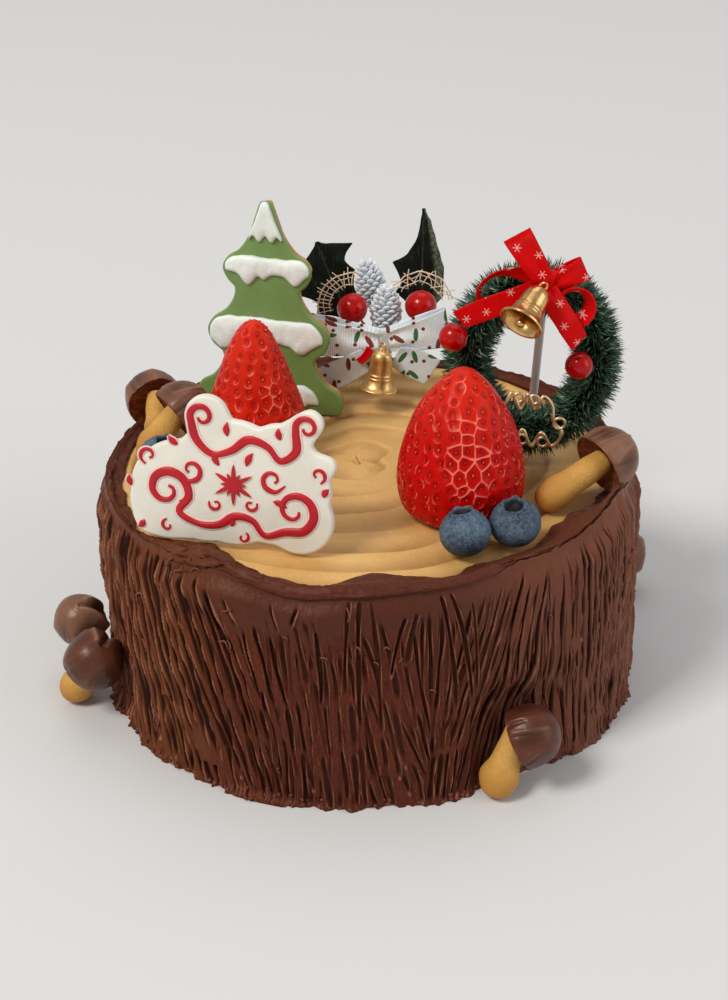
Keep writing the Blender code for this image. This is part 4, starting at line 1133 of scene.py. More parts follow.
# a seed lies in each pit, its long side up the berry
def makeSeeds(side, dice, outline, along, centre, pits):
    places = []
    tints = []
    for turn, level, size in pits:
        radius = float(np.interp(level, along, outline[:, 0]))
        height = float(np.interp(level, along, outline[:, 1]))
        ahead = (float(np.interp(level + 0.5, along, outline[:, 0])) - radius,
                 float(np.interp(level + 0.5, along, outline[:, 1])) - height)
        out = Vector((math.cos(turn), math.sin(turn), 0))
        rise = (out * ahead[0] + Vector((0, 0, ahead[1]))).normalized()
        flat = Vector((-math.sin(turn), math.cos(turn), 0))
        normal = flat.cross(rise).normalized()
        if normal.dot(out) < 0 and height < 38:
            normal = -normal
        spot = centre + out * (radius - pit["depth"] * 0.78) + Vector((0, 0, height))
        places.append(axesAt(spot, flat * pit["seedWidth"] / 2 * size,
                             rise * pit["seedLength"] / 2 * size, normal * pit["seedThick"]))
        tints.append(dice.random())
    return strew("strawberry_" + side + "_seeds", *seedShape(), places, {"tint": tints})


def strawberryFinish():
    finish, tree = newFinish("strawberryFlesh", {
        "Roughness": 0.36, "Specular IOR Level": 0.16, "Specular Tint": (1, 0.7, 0.62, 1),
        "Coat Weight": 0.02, "Coat Roughness": 0.1,
        "Subsurface Weight": 0.03, "Subsurface Radius": (0.003, 0.0006, 0.0004)})
    coords = pieceCoords(tree)
    red, _ = mottle(tree, coords, 110, 0.35, 0.65, (178, 0, 0), (198, 4, 2))
    orange, _ = mottle(tree, coords, 110, 0.35, 0.65, (196, 22, 4), (212, 42, 14))
    skin = mixColour(tree, attribute(tree, "tint"), red, orange)
    # painted light: the upper part of the berry lighter
    upper = mixColour(tree, ramp(tree, attribute(tree, "tip"), 0.55, 1.5), skin, (228, 56, 32))
    # painted shade in the pits
    deep = mixColour(tree, ramp(tree, attribute(tree, "pit"), 0.15, 1.3), upper, (140, 0, 0))
    _, broken = mottle(tree, coords, 600, 0.22, 0.42, (0, 0, 0), (255, 255, 255))
    # painted highlight: pale net lines and arcs, broken by a mottle
    netHighlight = reckon(tree, "MULTIPLY", attribute(tree, "net"), broken)
    withNetHighlight = mixColour(tree, ramp(tree, netHighlight, 0.15, 0.8), deep, (240, 128, 104))
    return cover(finish, withNetHighlight, grain(tree, coords, 420, 1600, 0.4, 0.00012))


def berrySeedFinish():
    finish, tree = newFinish("strawberrySeed", {"Roughness": 0.4})
    colour = mixColour(tree, attribute(tree, "tint"), (170, 20, 12), (226, 104, 70))
    return cover(finish, colour, grain(tree, pieceCoords(tree), 900, 2400, 0.5, 0.0001))


# blueberries

blueberries = {
    "radius": 6.7,
    "front": ((25.0, -51.7, 68.2), (-0.16, 0.12, 0.98), 5),
    "right": ((38.2, -46.4, 68.2), (-0.12, -0.22, 0.95), 8),
    "left": ((-56.6, -8.4, 68.2), (0.2, -0.2, 0.96), 11),
}


def makeBlueberry(name, skin):
    centre, axis, seed = blueberries[name]
    radius = blueberries["radius"]
    rows = [(0.0, -radius * 0.93)]
    for degrees in np.linspace(-86, 60, 46):
        turn = math.radians(degrees)
        rows.append((radius * math.cos(turn), radius * math.sin(turn) * 0.93))
    crown = len(rows)
    rows += [(3.05, 5.70), (2.95, 5.98), (2.75, 6.08), (2.5, 5.95), (2.3, 5.4), (2.0, 4.8),
             (1.5, 4.4), (0.8, 4.2), (0, 4.15)]
    profile = np.array(rows)
    points, angles = turned(profile, 88)
    scallop = np.abs(np.cos(2.5 * angles + seed)) ** 0.7
    jag = hills(angles[None, :] * 2.2, np.zeros((1, 88)), seed)[0]
    for row in range(crown - 2, len(rows) - 1):
        rise = (0.3, 0.6, 1.0, 1.2, 1.0, 0.5, 0.2, 0.1, 0, 0)[row - crown + 2]
        points[row, :, :2] *= (1 + rise * (0.30 * (scallop - 0.5) + 0.10 * jag))[:, None]
        points[row, :, 2] += rise * (0.40 * (scallop - 0.62) + 0.15 * jag)
    x = angles[None, :] / (2 * math.pi)
    y = np.arange(len(rows))[:, None] / len(rows)
    dents = 0.10 * hills(x * 9 + 9, y * 7, seed + 1, 9) + 0.03 * hills(x * 40 + 40, y * 30, seed + 2, 40)
    points[1:crown - 2, :, :2] *= (1 + dents / radius)[1:crown - 2][..., None]
    hole = np.broadcast_to(easeStep(np.arange(len(rows)), crown + 2.5, crown + 4.5)[:, None],
                           points.shape[:2])
    low = np.broadcast_to(np.clip(-profile[:, 1:] / radius, -1, 1), points.shape[:2])
    piece = layGrid("blueberry_" + name + "_skin", placed(points, aim(centre, axis)), wrap=True,
                    facts={"hole": hole, "low": low})
    dress(piece, skin, "blueberry", "blueberry_" + name)


def blueberryFinish():
    finish, tree = newFinish("blueberrySkin", {"Roughness": 0.6, "Specular IOR Level": 0.3})
    coords = pieceCoords(tree)
    bloom, _ = mottle(tree, coords, 1300, 0.40, 0.60, (40, 54, 72), (100, 120, 136))
    cloud, _ = mottle(tree, coords, 170, 0.36, 0.62, (34, 48, 68), (92, 112, 130))
    dusty = mixColour(tree, 0.5, bloom, cloud)
    # painted shade: darker toward the underside
    under = mixColour(tree, ramp(tree, attribute(tree, "low"), 0.1, 1.1), dusty, (14, 18, 28))
    dark = mixColour(tree, attribute(tree, "hole"), under, (6, 7, 12))
    return cover(finish, dark, grain(tree, coords, 500, 2200, 0.5, 0.00012))


# chocolate mushrooms

mushrooms = {
    "capRadius": 8.4, "capHeight": 11.4, "neck": 3.7,
    # rim centre, axis, bulb centre, bulb radius, size, turn of the creases
    "a": ((-61.2, 23.2, 70.8), (-0.36, 0.92, 0.15), (-60.2, 16.6, 65.8), 4.2, 1.0, 0.4),
    "b": ((-54.6, 10.4, 72.3), (0.75, 0.42, 0.5), (-60.8, 4.1, 66.4), 4.6, 1.0, 2.2),
    "c": ((62.6, -17.6, 71.0), (0.80, 0.50, 0.33), (49.4, -26.6, 65.9), 4.5, 1.04, 1.1),
    "d": ((-81.6, -9.6, 15.6), (-0.3, -0.45, 0.84), (-83.2, -4.2, 5.0), 4.5, 0.9, 0.2),
    "e": ((-76.4, -30.6, 15.8), (0.3, -0.59, 0.75), (-82.2, -26.0, 5.3), 5.0, 1.0, 2.9),
    "f": ((39.6, -67.8, 15.4), (0.88, -0.08, 0.47), (34.4, -71.2, 5.5), 5.3, 1.0, 0.7),
    "g": ((78.5, 43.0, 10.4), (0.2, -0.85, 0.45), (76.8, 51.5, 5.4), 5.0, 1.0, 1.7),
}


# moulded marks of the caps: from turn and level, to turn and level, width at both ends (mm),
# how far out (a thin edge, painted pale as a highlight) or in (a dent that opens toward the rim, painted
# dark as shade); tones: how pale each cap is
capMarks = {
    "b": [(1.02, 0.24, 1.88, 0.30, 0.45, 0.45, 0.40), (1.88, 0.30, 2.2, 0.95, 0.45, 0.40, 0.40)],
    "c": [(1.90, 0.10, 2.1, 0.90, 0.45, 0.40, 0.35), (2.75, 0.12, 2.5, 0.80, 0.40, 0.35, 0.30)],
    "d": [(0.60, 0.93, 0.86, 0.04, 1.2, 3.0, -1.3), (0.46, 0.95, 0.30, 0.04, 0.7, 1.1, 0.75),
          (1.15, 0.80, 1.30, 0.04, 0.8, 1.2, 0.5)],
    "e": [(0.75, 0.97, 0.55, 0.04, 1.6, 3.4, -1.5), (1.45, 0.93, 1.3, 0.04, 0.8, 1.2, 0.6),
          (3.3, 0.45, 3.1, 0.05, 0.6, 0.9, -0.4)],
    "f": [(2.08, 0.46, 2.06, 0.03, 0.4, 1.2, -0.9), (2.55, 0.85, 2.35, 0.10, 0.6, 0.6, 0.30)],
}
capTones = {"a": 0.38, "b": 0.32, "c": 0.50, "d": 0.45, "e": 0.03, "f": 0.0, "g": 0.3}


# share of each mark at every point of a turned section
def markCap(name, points, section, low, high):
    raised = np.zeros(points.shape[:2])
    cut = np.zeros(points.shape[:2])
    outer = section[low:high]
    for turn0, level0, turn1, level1, wide0, wide1, deep in capMarks.get(name, []):
        best = np.full(points.shape[:2], 9.0)
        for s in np.linspace(0, 1, 36):
            turn = turn0 + (turn1 - turn0) * s
            level = level0 + (level1 - level0) * s
            z = level * outer[:, 1].max()
            r = np.interp(z, outer[:, 1], outer[:, 0])
            spot = np.array((r * math.cos(turn), r * math.sin(turn), z))
            apart = np.linalg.norm(points - spot, axis=2)
            best = np.minimum(best, apart / (wide0 + (wide1 - wide0) * s))
        if deep > 0:
            raised = np.maximum(raised, deep * np.exp(-best ** 2))
        else:
            cut = np.maximum(cut, -deep * np.clip(1 - best, 0, 1) ** 1.3)
    return raised, cut


def makeCap(name):
    rimCentre, axis, _, _, size, spin = mushrooms[name]
    hollow = [(0, 0.24), (0.45, 0.21), (0.74, 0.13), (0.90, 0.04), (0.950, 0.005), (0.975, -0.02),
              (1.0, 0.03)]
    dome = [(1.0, 0.03), (1.01, 0.16), (0.965, 0.42), (0.80, 0.70), (0.52, 0.89), (0.22, 0.975),
            (0, 1.0)]
    section = np.concatenate([smoothPath(hollow, 26), smoothPath(dome, 44)[1:]])
    tall = mushrooms["capHeight"] * size
    section = section * (mushrooms["capRadius"] * size, tall)
    section[0, 0] = section[-1, 0] = 0
    points, angles = turned(section, 120)
    outer = np.arange(len(section)) >= 20
    upTo = np.clip(1.25 - section[:, 1] / (tall * 0.85), 0, 1)
    level = section[:, 1:] / tall
    # flat facets meeting at ridges, strongest half way up
    half = math.pi / 5
    facet = math.cos(half) / np.cos((angles - spin) % (2 * half) - half) - 0.9
    ridged = np.exp(-((level - 0.42) / 0.36) ** 2) * outer[:, None]
    folds = 8 * facet[None, :] * ridged
    for i, (turn, strength) in enumerate(((0.3, 1.0), (1.7, 0.5), (2.9, 0.8), (4.4, 0.6))):
        away = angleAway(angles - turn, spin, 2 * math.pi)
        skew = away[None, :] - 0.5 * math.sin(i * 2.3) * level
        slit = np.exp(-(np.abs(skew) / 0.05) ** 1.3) + 0.4 * np.exp(-(np.abs(skew - 0.28) / 0.04) ** 1.3)
        folds -= 0.75 * strength * slit * upTo[:, None] * outer[:, None]
    wave = 0.5 * np.cos(2 * angles + spin)[None, :] + 0.4 * np.cos(3 * angles - spin)[None, :]
    dents = hills(angles[None, :] / (2 * math.pi) * 14 + 14, level * 6, int(spin * 10) + 80, 14)
    points[:, :, :2] *= (1 + 0.06 * folds + 0.018 * wave + 0.012 * dents)[..., None]
    raised, cut = markCap(name, points, section, 26, len(section))
    raised *= outer[:, None]
    cut *= outer[:, None]
    push = points - (0, 0, tall * 0.3)
    push /= np.linalg.norm(push, axis=2, keepdims=True) + 1e-6
    points += push * (raised - cut)[..., None]
    # painted shade in the slits and dents; painted highlight on the thin raised edges, over each cap's own
    # tone
    crease = np.clip(np.maximum(-0.8 * folds, 0.22 * cut), 0, 1)
    pale = np.clip(2.2 * raised, 0, 1) * 0.5 + capTones[name]
    inside = np.broadcast_to(easeStep(np.arange(len(section)), 27, 21)[:, None], folds.shape)
    return layGrid("mushroom_" + name + "_dome", placed(points, aim(rimCentre, axis)), wrap=True,
                   facts={"inside": inside, "crease": crease, "pale": pale})


def makeStem(name):
    rimCentre, axis, bulbCentre, bulb, size, spin = mushrooms[name]
    neck = mushrooms["neck"] * size
    top = Vector(rimCentre) - Vector(axis).normalized() * (neck - 1.9 * size)
    run = Vector(bulbCentre) - top
    reach = run.length
    keys = [(neck * 0.85, -neck), (neck * 0.98, reach * 0.10), ((neck + bulb) / 2 - 0.3, reach * 0.55),
            (bulb, reach * 0.96), (bulb * 0.74, reach + bulb * 0.66), (bulb * 0.4, reach + bulb * 0.92),
            (0, reach + bulb)]
    side = smoothPath(keys, 40)
    side[-1, 0] = 0
    section = np.concatenate([[(0, -neck)], side])
    points, angles = turned(section, 56)
    x = angles[None, :] / (2 * math.pi)
    uneven = 1 + 0.03 * hills(x * 5 + 5, section[:, 1:] / 5 + 9, int(spin * 10), 5)
    points[:, :, :2] *= uneven[..., None]
    # darker toward the bulb end
    lower = np.broadcast_to(easeStep(section[:, 1:], reach * 0.45, reach * 1.15), points.shape[:2])
    return layGrid("mushroom_" + name + "_biscuit", placed(points, aim(top, run)), wrap=True,
                   facts={"towardBulb": lower})


def capFinish():
    finish, tree = newFinish("milkChocolate", {
        "Roughness": 0.36, "Specular IOR Level": 0.34, "Specular Tint": (1, 0.86, 0.74, 1),
        "Coat Weight": 0.04, "Coat Roughness": 0.15})
    coords = pieceCoords(tree)
    shell, _ = mottle(tree, coords, 130, 0.35, 0.65, (76, 38, 25), (98, 53, 37))
    dust, _ = mottle(tree, coords, 1100, 0.60, 0.72, (88, 48, 33), (156, 114, 88))
    outside = mixColour(tree, 0.35, shell, dust)
    # painted highlight on the raised edges, with each cap's own paleness
    outside = mixColour(tree, attribute(tree, "pale"), outside, (158, 116, 92))
    speck, _ = mottle(tree, coords, 700, 0.40, 0.66, (88, 38, 22), (146, 80, 50))
    colour = mixColour(tree, attribute(tree, "inside"), outside, speck)
    # painted shade in the slits and dents
    colour = mixColour(tree, attribute(tree, "crease"), colour, (44, 18, 10))
    return cover(finish, colour, grain(tree, coords, 180, 900, 0.3, 0.0002))


def biscuitFinish(name, low, high, towardBulb=None):
    finish, tree = newFinish(name, {"Roughness": 0.62, "Specular IOR Level": 0.25})
    coords = pieceCoords(tree)
    broad, _ = mottle(tree, coords, 130, 0.35, 0.65, low, high)
    crumb, _ = mottle(tree, coords, 1500, 0.42, 0.62, low, high)
    colour = mixColour(tree, 0.5, broad, crumb)
    # darker toward the bulb end
    if towardBulb:
        colour = mixColour(tree, attribute(tree, "towardBulb"), colour, towardBulb)
    return cover(finish, colour, grain(tree, coords, 300, 1500, 0.6, 0.0003))


flesh = strawberryFinish()
seedFinish = berrySeedFinish()
for side in ("left", "right"):
    makeStrawberry(side, flesh, seedFinish)
blueSkin = blueberryFinish()
for name in ("front", "right", "left"):
    makeBlueberry(name, blueSkin)
milkChocolate = capFinish()
stemBiscuit = biscuitFinish("stemBiscuit", (196, 144, 66), (216, 168, 92), (186, 132, 60))
for name in "abcdefg":
    dress(makeCap(name), milkChocolate, "mushroom_cap", "mushroom_" + name + "_cap")
    dress(makeStem(name), stemBiscuit, "biscuit", "mushroom_" + name + "_stem")
print("fruit and mushrooms made")


# plaque

plaque = {
    "place": ((-36.5, -46.6, 61.5), -13.7, -6), "thick": 3.0, "edge": 0.9, "centre": (1.5, 18.0),
    # rounded lobes of the outline: x, z, radius
    "lobes": [(-5.2, 35.0, 5.9), (21.4, 35.5, 4.1), (25.9, 24.7, 3.1), (19.2, 21.2, 7.8),
              (19.4, 9.5, 9.2), (-12.3, 14.4, 13.5), (-15.8, 10.8, 10.3), (1.4, 17.9, 17.0),
              (-5.7, 15.4, 14.5), (14.2, 25.4, 9.6), (-19.2, 7.1, 6.2), (12.2, 17.8, 15.6)],
    # last: width of the pink painted shade laid behind and round the red lines
    "star": (2.2, 17.8), "strokeRise": 0.55, "pinkShade": 0.55,
    # small curls: centre, start, turns, size, width
    "curls": [((-9.2, 20.6), 200, 1.1, 3.6, 1.5), ((12.6, 20.2), -20, -1.1, 3.6, 1.5),
              ((-20.6, 23.4), 250, -0.9, 2.6, 1.2), ((24.4, 22.8), -70, 0.85, 2.3, 1.1),
              ((-2.6, 12.0), 160, 0.9, 1.9, 1.0), ((6.8, 12.8), 20, -0.9, 1.9, 1.0),
              ((-15.6, 4.6), 100, 0.8, 1.8, 1.0), ((4.8, 3.6), 60, -0.8, 1.7, 0.9)],
    # leaves: x, z, angle, length
    "leaves": [(-1.6, 22.6, 115, 4.2), (5.6, 23.2, 65, 4.2), (-8.8, 13.0, 200, 4.0),
               (12.8, 14.4, -20, 4.0), (0.6, 30.8, 90, 3.8), (14.6, 31.2, 100, 3.2),
               (-22.0, 5.4, 230, 2.8), (26.0, 17.0, 60, 2.8), (-12.6, 27.2, 140, 3.4),
               (-25.4, 14.6, 100, 3.0), (1.6, 8.6, -90, 2.4)],
}


def spiral(centre, start, turns, outer, inner, count=9):
    share = np.linspace(0, 1, count)
    angle = np.radians(start + 360 * turns * share)
    radius = outer + (inner - outer) * share
    return [tuple(p) for p in np.stack([centre[0] + radius * np.cos(angle),
                                        centre[1] + radius * np.sin(angle)], axis=1)]


def plaqueOutline(count):
    cx, cz = plaque["centre"]
    angle = roundTurns(count)
    reach = np.full(count, 10.0)
    for x, z, radius in plaque["lobes"]:
        along = np.cos(angle) * (x - cx) + np.sin(angle) * (z - cz)
        apart = (x - cx) ** 2 + (z - cz) ** 2 - radius ** 2
        inside = along * along - apart
        reach = np.maximum(reach, np.where(inside > 0, along + np.sqrt(np.maximum(inside, 0)), 0))
    # the notches between lobes are rounded a little
    kernel = np.array([1, 2, 3, 2, 1]) / 9
    padded = np.concatenate([reach[-2:], reach, reach[:2]])
    reach = np.convolve(padded, kernel, mode="valid")
    return np.stack([cx + np.cos(angle) * reach,
                     np.maximum(cz + np.sin(angle) * reach, clearance)], axis=1)


# flat piece with rounded edges from an outline in local x and z
def cutSlab(name, outline, front, back, place, edge, segments=4):
    count = len(outline)
    deselectAll()
    bpy.ops.mesh.primitive_circle_add(vertices=count, radius=0.01, fill_type="NGON")
    piece = rename(bpy.context.object, name)
    x, z = np.array(outline).T
    flat = np.stack([x, np.full(count, front), z], axis=1)
    piece.data.vertices.foreach_set("co", (flat * mm).astype(np.float32).ravel())
    depth = (back - front) * mm

    def thicken():
        bpy.ops.mesh.extrude_region_move(TRANSFORM_OT_translate={"value": (0, depth, 0)})

    def selectWhole():
        bpy.ops.mesh.select_all(action="SELECT")

    edit(piece, thicken, selectWhole, faceOut)
    applyModifier(piece, "BEVEL", width=edge * mm, segments=segments, limit_method="ANGLE",
                  angle_limit=math.radians(50))
    move = place.copy()
    move.translation = move.translation * mm
    piece.data.transform(move)
    pick(piece)
    bpy.ops.object.shade_smooth_by_angle(angle=math.radians(45))
    return piece


# raised icing line: half round, flat at its back, of changing width
def pipedLine(keys, widths, count, place, depth, rise, name="line"):
    path = evenPath(smoothPath(keys, count * 3), count)
    wide = np.interp(np.linspace(0, 1, count), np.linspace(0, 1, len(widths)), widths) / 2
    run = np.gradient(path, axis=0)
    run /= np.linalg.norm(run, axis=1, keepdims=True)
    side = np.stack([-run[:, 1], run[:, 0]], axis=1)
    turn = roundTurns(12)
    rows = []
    for i in range(count):
        ring = []
        for a in turn:
            out = math.cos(a) * wide[i]
            up = math.sin(a)
            lift = rise * min(1.0, wide[i] * 1.6) * (up ** 0.62 if up > 0 else -0.05)
            ring.append((path[i, 0] + side[i, 0] * out, depth - lift, path[i, 1] + side[i, 1] * out))
        rows.append(ring)
    rows = np.array(rows)
    first = np.repeat(rows[0].mean(axis=0)[None], 12, axis=0)[None]
    last = np.repeat(rows[-1].mean(axis=0)[None], 12, axis=0)[None]
    return layGrid(name, placed(np.concatenate([first, rows, last]), place), wrap=True)


def plaqueScrolls():
    upper = list(reversed(spiral((-6.2, 35.4), 215, -1.05, 3.4, 1.1)))
    upper += [(-7.6, 29.0), (-3.4, 25.6), (1.6, 27.0), (6.2, 30.4), (11.2, 29.0), (14.6, 25.6),
              (18.6, 28.4)]
    upper += spiral((21.4, 35.0), 205, -1.05, 3.2, 1.0)
    lower = list(reversed(spiral((-15.8, 14.6), 300, 1.35, 6.6, 1.2, 11)))
    lower += [(-7.0, 6.0), (-1.6, 6.4), (2.8, 9.2), (7.4, 8.4), (10.6, 4.8)]
    lower += spiral((18.4, 12.4), 250, 1.3, 6.4, 1.2, 11)
    return {"upper": (upper, [0.8, 1.6, 2.4, 1.6, 2.4, 1.6, 2.4, 1.5, 0.8], 120),
            "lower": (lower, [0.8, 1.8, 2.6, 2.2, 1.5, 2.4, 1.5, 2.4, 2.4, 1.6, 0.8], 150)}


# short curls and leaves that fill the plaque between the main scrolls
def plaqueSprigs():
    sprigs = []
    for centre, start, turns, size, wide in plaque["curls"]:
        sprigs.append((spiral(centre, start, turns, size, size * 0.25, 8), [0.5, wide, wide * 0.8, 0.6]))
    for x, z, angle, length in plaque["leaves"]:
        turn = math.radians(angle)
        end = (x + length * math.cos(turn), z + length * math.sin(turn))
        middle = ((x + end[0]) / 2 - 0.3 * math.sin(turn), (z + end[1]) / 2 + 0.3 * math.cos(turn))
        sprigs.append(([(x, z), middle, end], [0.3, 1.5, 1.9, 1.2, 0.2]))
    return sprigs


# long and short points in turn
def starOutline(grown=1.0):
    middle = np.array(plaque["star"])
    points = []
    for k in range(96):
        turn = math.radians(3.75 * k + 90)
        reach = np.interp((k / 4) % 4, (0, 1, 2, 3, 4), (5.6, 1.8, 3.4, 1.8, 5.6))
        points.append(middle + np.array((math.cos(turn), math.sin(turn))) * reach * grown)
    return points


def makePlaque(icing, redIcing, pinkShadeFinish):
    place = standing(*plaque["place"])
    front = -plaque["thick"] / 2
    board = cutSlab("plaque_board", plaqueOutline(260), front, -front, place, plaque["edge"])
    dress(board, icing, "white_icing", "plaque")
    # pink painted shade: a pale pink sheet behind each red line, sprig and the star, wider than it
    pinkShades = []
    level = front - 0.03
    for key, (keys, widths, count) in plaqueScrolls().items():
        line = pipedLine(keys, widths, count, place, level, plaque["strokeRise"], "plaque_vine_" + key)
        dress(line, redIcing, "red_icing", "plaque_scroll_" + key)
        wider = [w + 2 * plaque["pinkShade"] for w in widths]
        pinkShades.append(pipedLine(keys, wider, count, place, level + 0.02, 0.05, "pinkShade"))
    sprigs = []
    for keys, widths in plaqueSprigs():
        sprigs.append(pipedLine(keys, widths, 34, place, level, plaque["strokeRise"] * 0.9))
        pinkShades.append(pipedLine(keys, [w + 1.5 * plaque["pinkShade"] for w in widths], 34, place,
                               level + 0.02, 0.05, "pinkShade"))
    dress(joinUp("plaque_sprigs", sprigs), redIcing, "red_icing")
    star = cutSlab("plaque_star_icing", starOutline(), level - plaque["strokeRise"], level + 0.02,
                   place, 0.25, 3)
    dress(star, redIcing, "red_icing", "plaque_star")
    pinkShades.append(cutSlab("pinkShade", starOutline(1.16), level - 0.04, level + 0.02, place, 0.01, 1))
    dress(joinUp("plaque_pink_shade", pinkShades), pinkShadeFinish, "white_icing")


def icingFinish(name, low, high, gloss=0.42, lumps=0.0003):
    return twoToneFinish(name, low, high, (90, 0.35, 0.65), (110, 900, 0.2, lumps),
                         {"Roughness": gloss, "Specular IOR Level": 0.35})


# biscuit tree

fir = {
    "place": ((-27.6, 42.3, 61.0), -15), "axis": -0.8, "biscuit": 3.4, "icing": 1.6, "snow": 1.5,
    "half": [(0.9, 64.4), (2.6, 59.4), (4.6, 53.9), (7.8, 49.4), (11.0, 47.2), (12.6, 44.4),
             (11.4, 41.3), (9.2, 38.8), (9.4, 35.4), (12.0, 31.0), (16.4, 27.5), (17.9, 24.4),
             (16.6, 20.8), (13.6, 18.0), (13.4, 15.0), (16.8, 9.4), (20.8, 6.8), (21.9, 3.6),
             (20.4, 0.8), (16.5, 0.3)],
}


def treeOutline(inset=0.0):
    right = evenPath(smoothPath(fir["half"], 260), 120)
    left = right[::-1] * (-1, 1)
    ring = np.concatenate([right, left])
    run = np.roll(ring, -1, axis=0) - np.roll(ring, 1, axis=0)
    run /= np.linalg.norm(run, axis=1, keepdims=True)
    ring = ring + np.stack([run[:, 1], -run[:, 0]], axis=1) * -inset
    ring[:, 0] += fir["axis"]
    ring[:, 1] = np.maximum(ring[:, 1], 0.3)
    return ring


# pillow of icing between a lower and an upper edge, flat at the back
def snowPillow(name, upper, lower, depth, place, seed, puff):
    v = np.linspace(0, 1, 26)
    flat = lower[:, None] * (1 - v)[None, :, None] + upper[:, None] * v[None, :, None]
    u = np.linspace(0, 1, len(upper))
    dome = (1 - np.abs(2 * v - 1)[None, :] ** 3.2) ** 0.5 * (1 - np.abs(2 * u - 1)[:, None] ** 9) ** 0.5
    relief = 0.30 * hills(flat[..., 0] / 4.2 + 40, flat[..., 1] / 4.2 + 40, seed)
    relief += 0.14 * hills(flat[..., 0] / 1.5 + 80, flat[..., 1] / 2.4 + 80, seed + 1)
    out = depth - dome * (puff + relief)
    front = np.stack([flat[..., 0], out, flat[..., 1]], axis=-1)
    back = np.stack([flat[..., 0], np.full(flat.shape[:2], depth), flat[..., 1]], axis=-1)
    face = layGrid(name, placed(front, place), closed=False)
    rear = layGrid("rear", placed(back[::-1], place), closed=False)
    whole = joinUp(name, [face, rear])
    edit(whole, mergeSeams, faceOut)
    bpy.ops.object.shade_smooth()
    return whole


# upper and lower edge of a drift, its ends drawn to one place
def snowBand(left, right, top, rise, bottom, drips, seed):
    t = np.linspace(0, 1, 90)
    x = left + (right - left) * t
    bow = 1 - (2 * t - 1) ** 10
    upper = np.stack([x, top - rise + rise * bow + 0.3 * hills(x / 2.5 + 60, 0 * x, seed)], axis=1)
    drop = sum(deep * np.exp(-((x - at) / wide) ** 2) for at, wide, deep in drips)
    low = np.minimum(bottom + (1 - bow) * 1.0 - drop + 0.3 * hills(x / 2.2 + 60, 0 * x, seed + 1),
                     top - rise - 1.0)
    lower = np.stack([x, low], axis=1)
    middle = (upper[[0, -1]] + lower[[0, -1]]) / 2
    for edge in (upper, lower):
        edge[0] = middle[0]
        edge[-1] = middle[1]
    return upper, lower


# drifts of snow over the tiers: left, right, top, rise of the top, bottom, drips (place, width, drop)
drifts = {
    "middle": (-13.4, 12.2, 48.6, 3.0, 43.2, [(-6.4, 2.2, 3.8), (7.9, 2.4, 2.8), (-1.4, 1.2, 1.4)]),
    "lower": (-18.9, 16.2, 29.6, 4.6, 22.0, [(-14.8, 3.6, 3.2), (9.2, 3.0, 3.0), (-2, 2.5, 2.5)]),
    "foot": (-16.6, 14.8, 9.4, 5.0, 4.4, [(9.8, 2.0, 2.0), (-9.8, 2.4, 2.0), (0, 2.5, 1.6)]),
}


def makeTree(treeBiscuit, greenIcing, snowIcing):
    place = standing(*fir["place"])
    half = fir["biscuit"] / 2
    dress(cutSlab("tree_cookie", treeOutline(), -half, half, place, 0.7), treeBiscuit,
          "biscuit", "tree_biscuit")
    front = -half - 0.05
    dress(cutSlab("tree_green", treeOutline(0.9), front - fir["icing"], front, place, 0.7),
          greenIcing, "green_icing", "tree_icing")
    depth = front - fir["icing"] + 0.1
    puff = fir["snow"]
    away = np.linspace(-5.0, 5.0, 60)
    x = fir["axis"] + away
    peak = np.interp(np.abs(away), (0.5, 1.2, 2.9, 5.0), (65.3, 64.7, 59.7, 54.6))
    teeth = 53.8 + 0.9 * np.cos(away * 1.7) + 0.05 * np.abs(away)
    upper = np.stack([x, peak], axis=1)
    lower = np.stack([x, np.minimum(teeth, peak - 0.2)], axis=1)
    for end in (0, -1):
        lower[end] = upper[end] = (upper[end] + lower[end]) / 2
    dress(snowPillow("tree_cap", upper, lower, depth, place, 81, puff), snowIcing, "white_icing",
          "tree_snow_top")
    for i, (name, facts) in enumerate(drifts.items()):
        upper, lower = snowBand(*facts, 90 + 5 * i)
        dress(snowPillow("tree_drift_" + name, upper, lower, depth, place, 84 + 4 * i, puff),
              snowIcing, "white_icing", "tree_snow_" + name)


whiteIcing = icingFinish("plaqueIcing", (226, 222, 208), (234, 230, 218))
snowIcing = icingFinish("snowIcing", (227, 234, 226), (241, 247, 242), 0.5, 0.0006)
redIcing = icingFinish("redIcing", (176, 20, 32), (192, 26, 38), 0.38, 0.0001)
# pale pink for the painted shade round the red icing
pinkShadeIcing = icingFinish("pinkShadeIcingFinish", (238, 206, 196), (242, 214, 204), 0.45, 0.0001)
greenIcing = icingFinish("greenIcing", (110, 140, 76), (122, 152, 88), 0.45, 0.0002)
makePlaque(whiteIcing, redIcing, pinkShadeIcing)
treeBiscuit = biscuitFinish("treeBiscuit", (176, 132, 84), (204, 164, 112))
makeTree(treeBiscuit, greenIcing, snowIcing)
print("plaque and tree made")


# holly pick

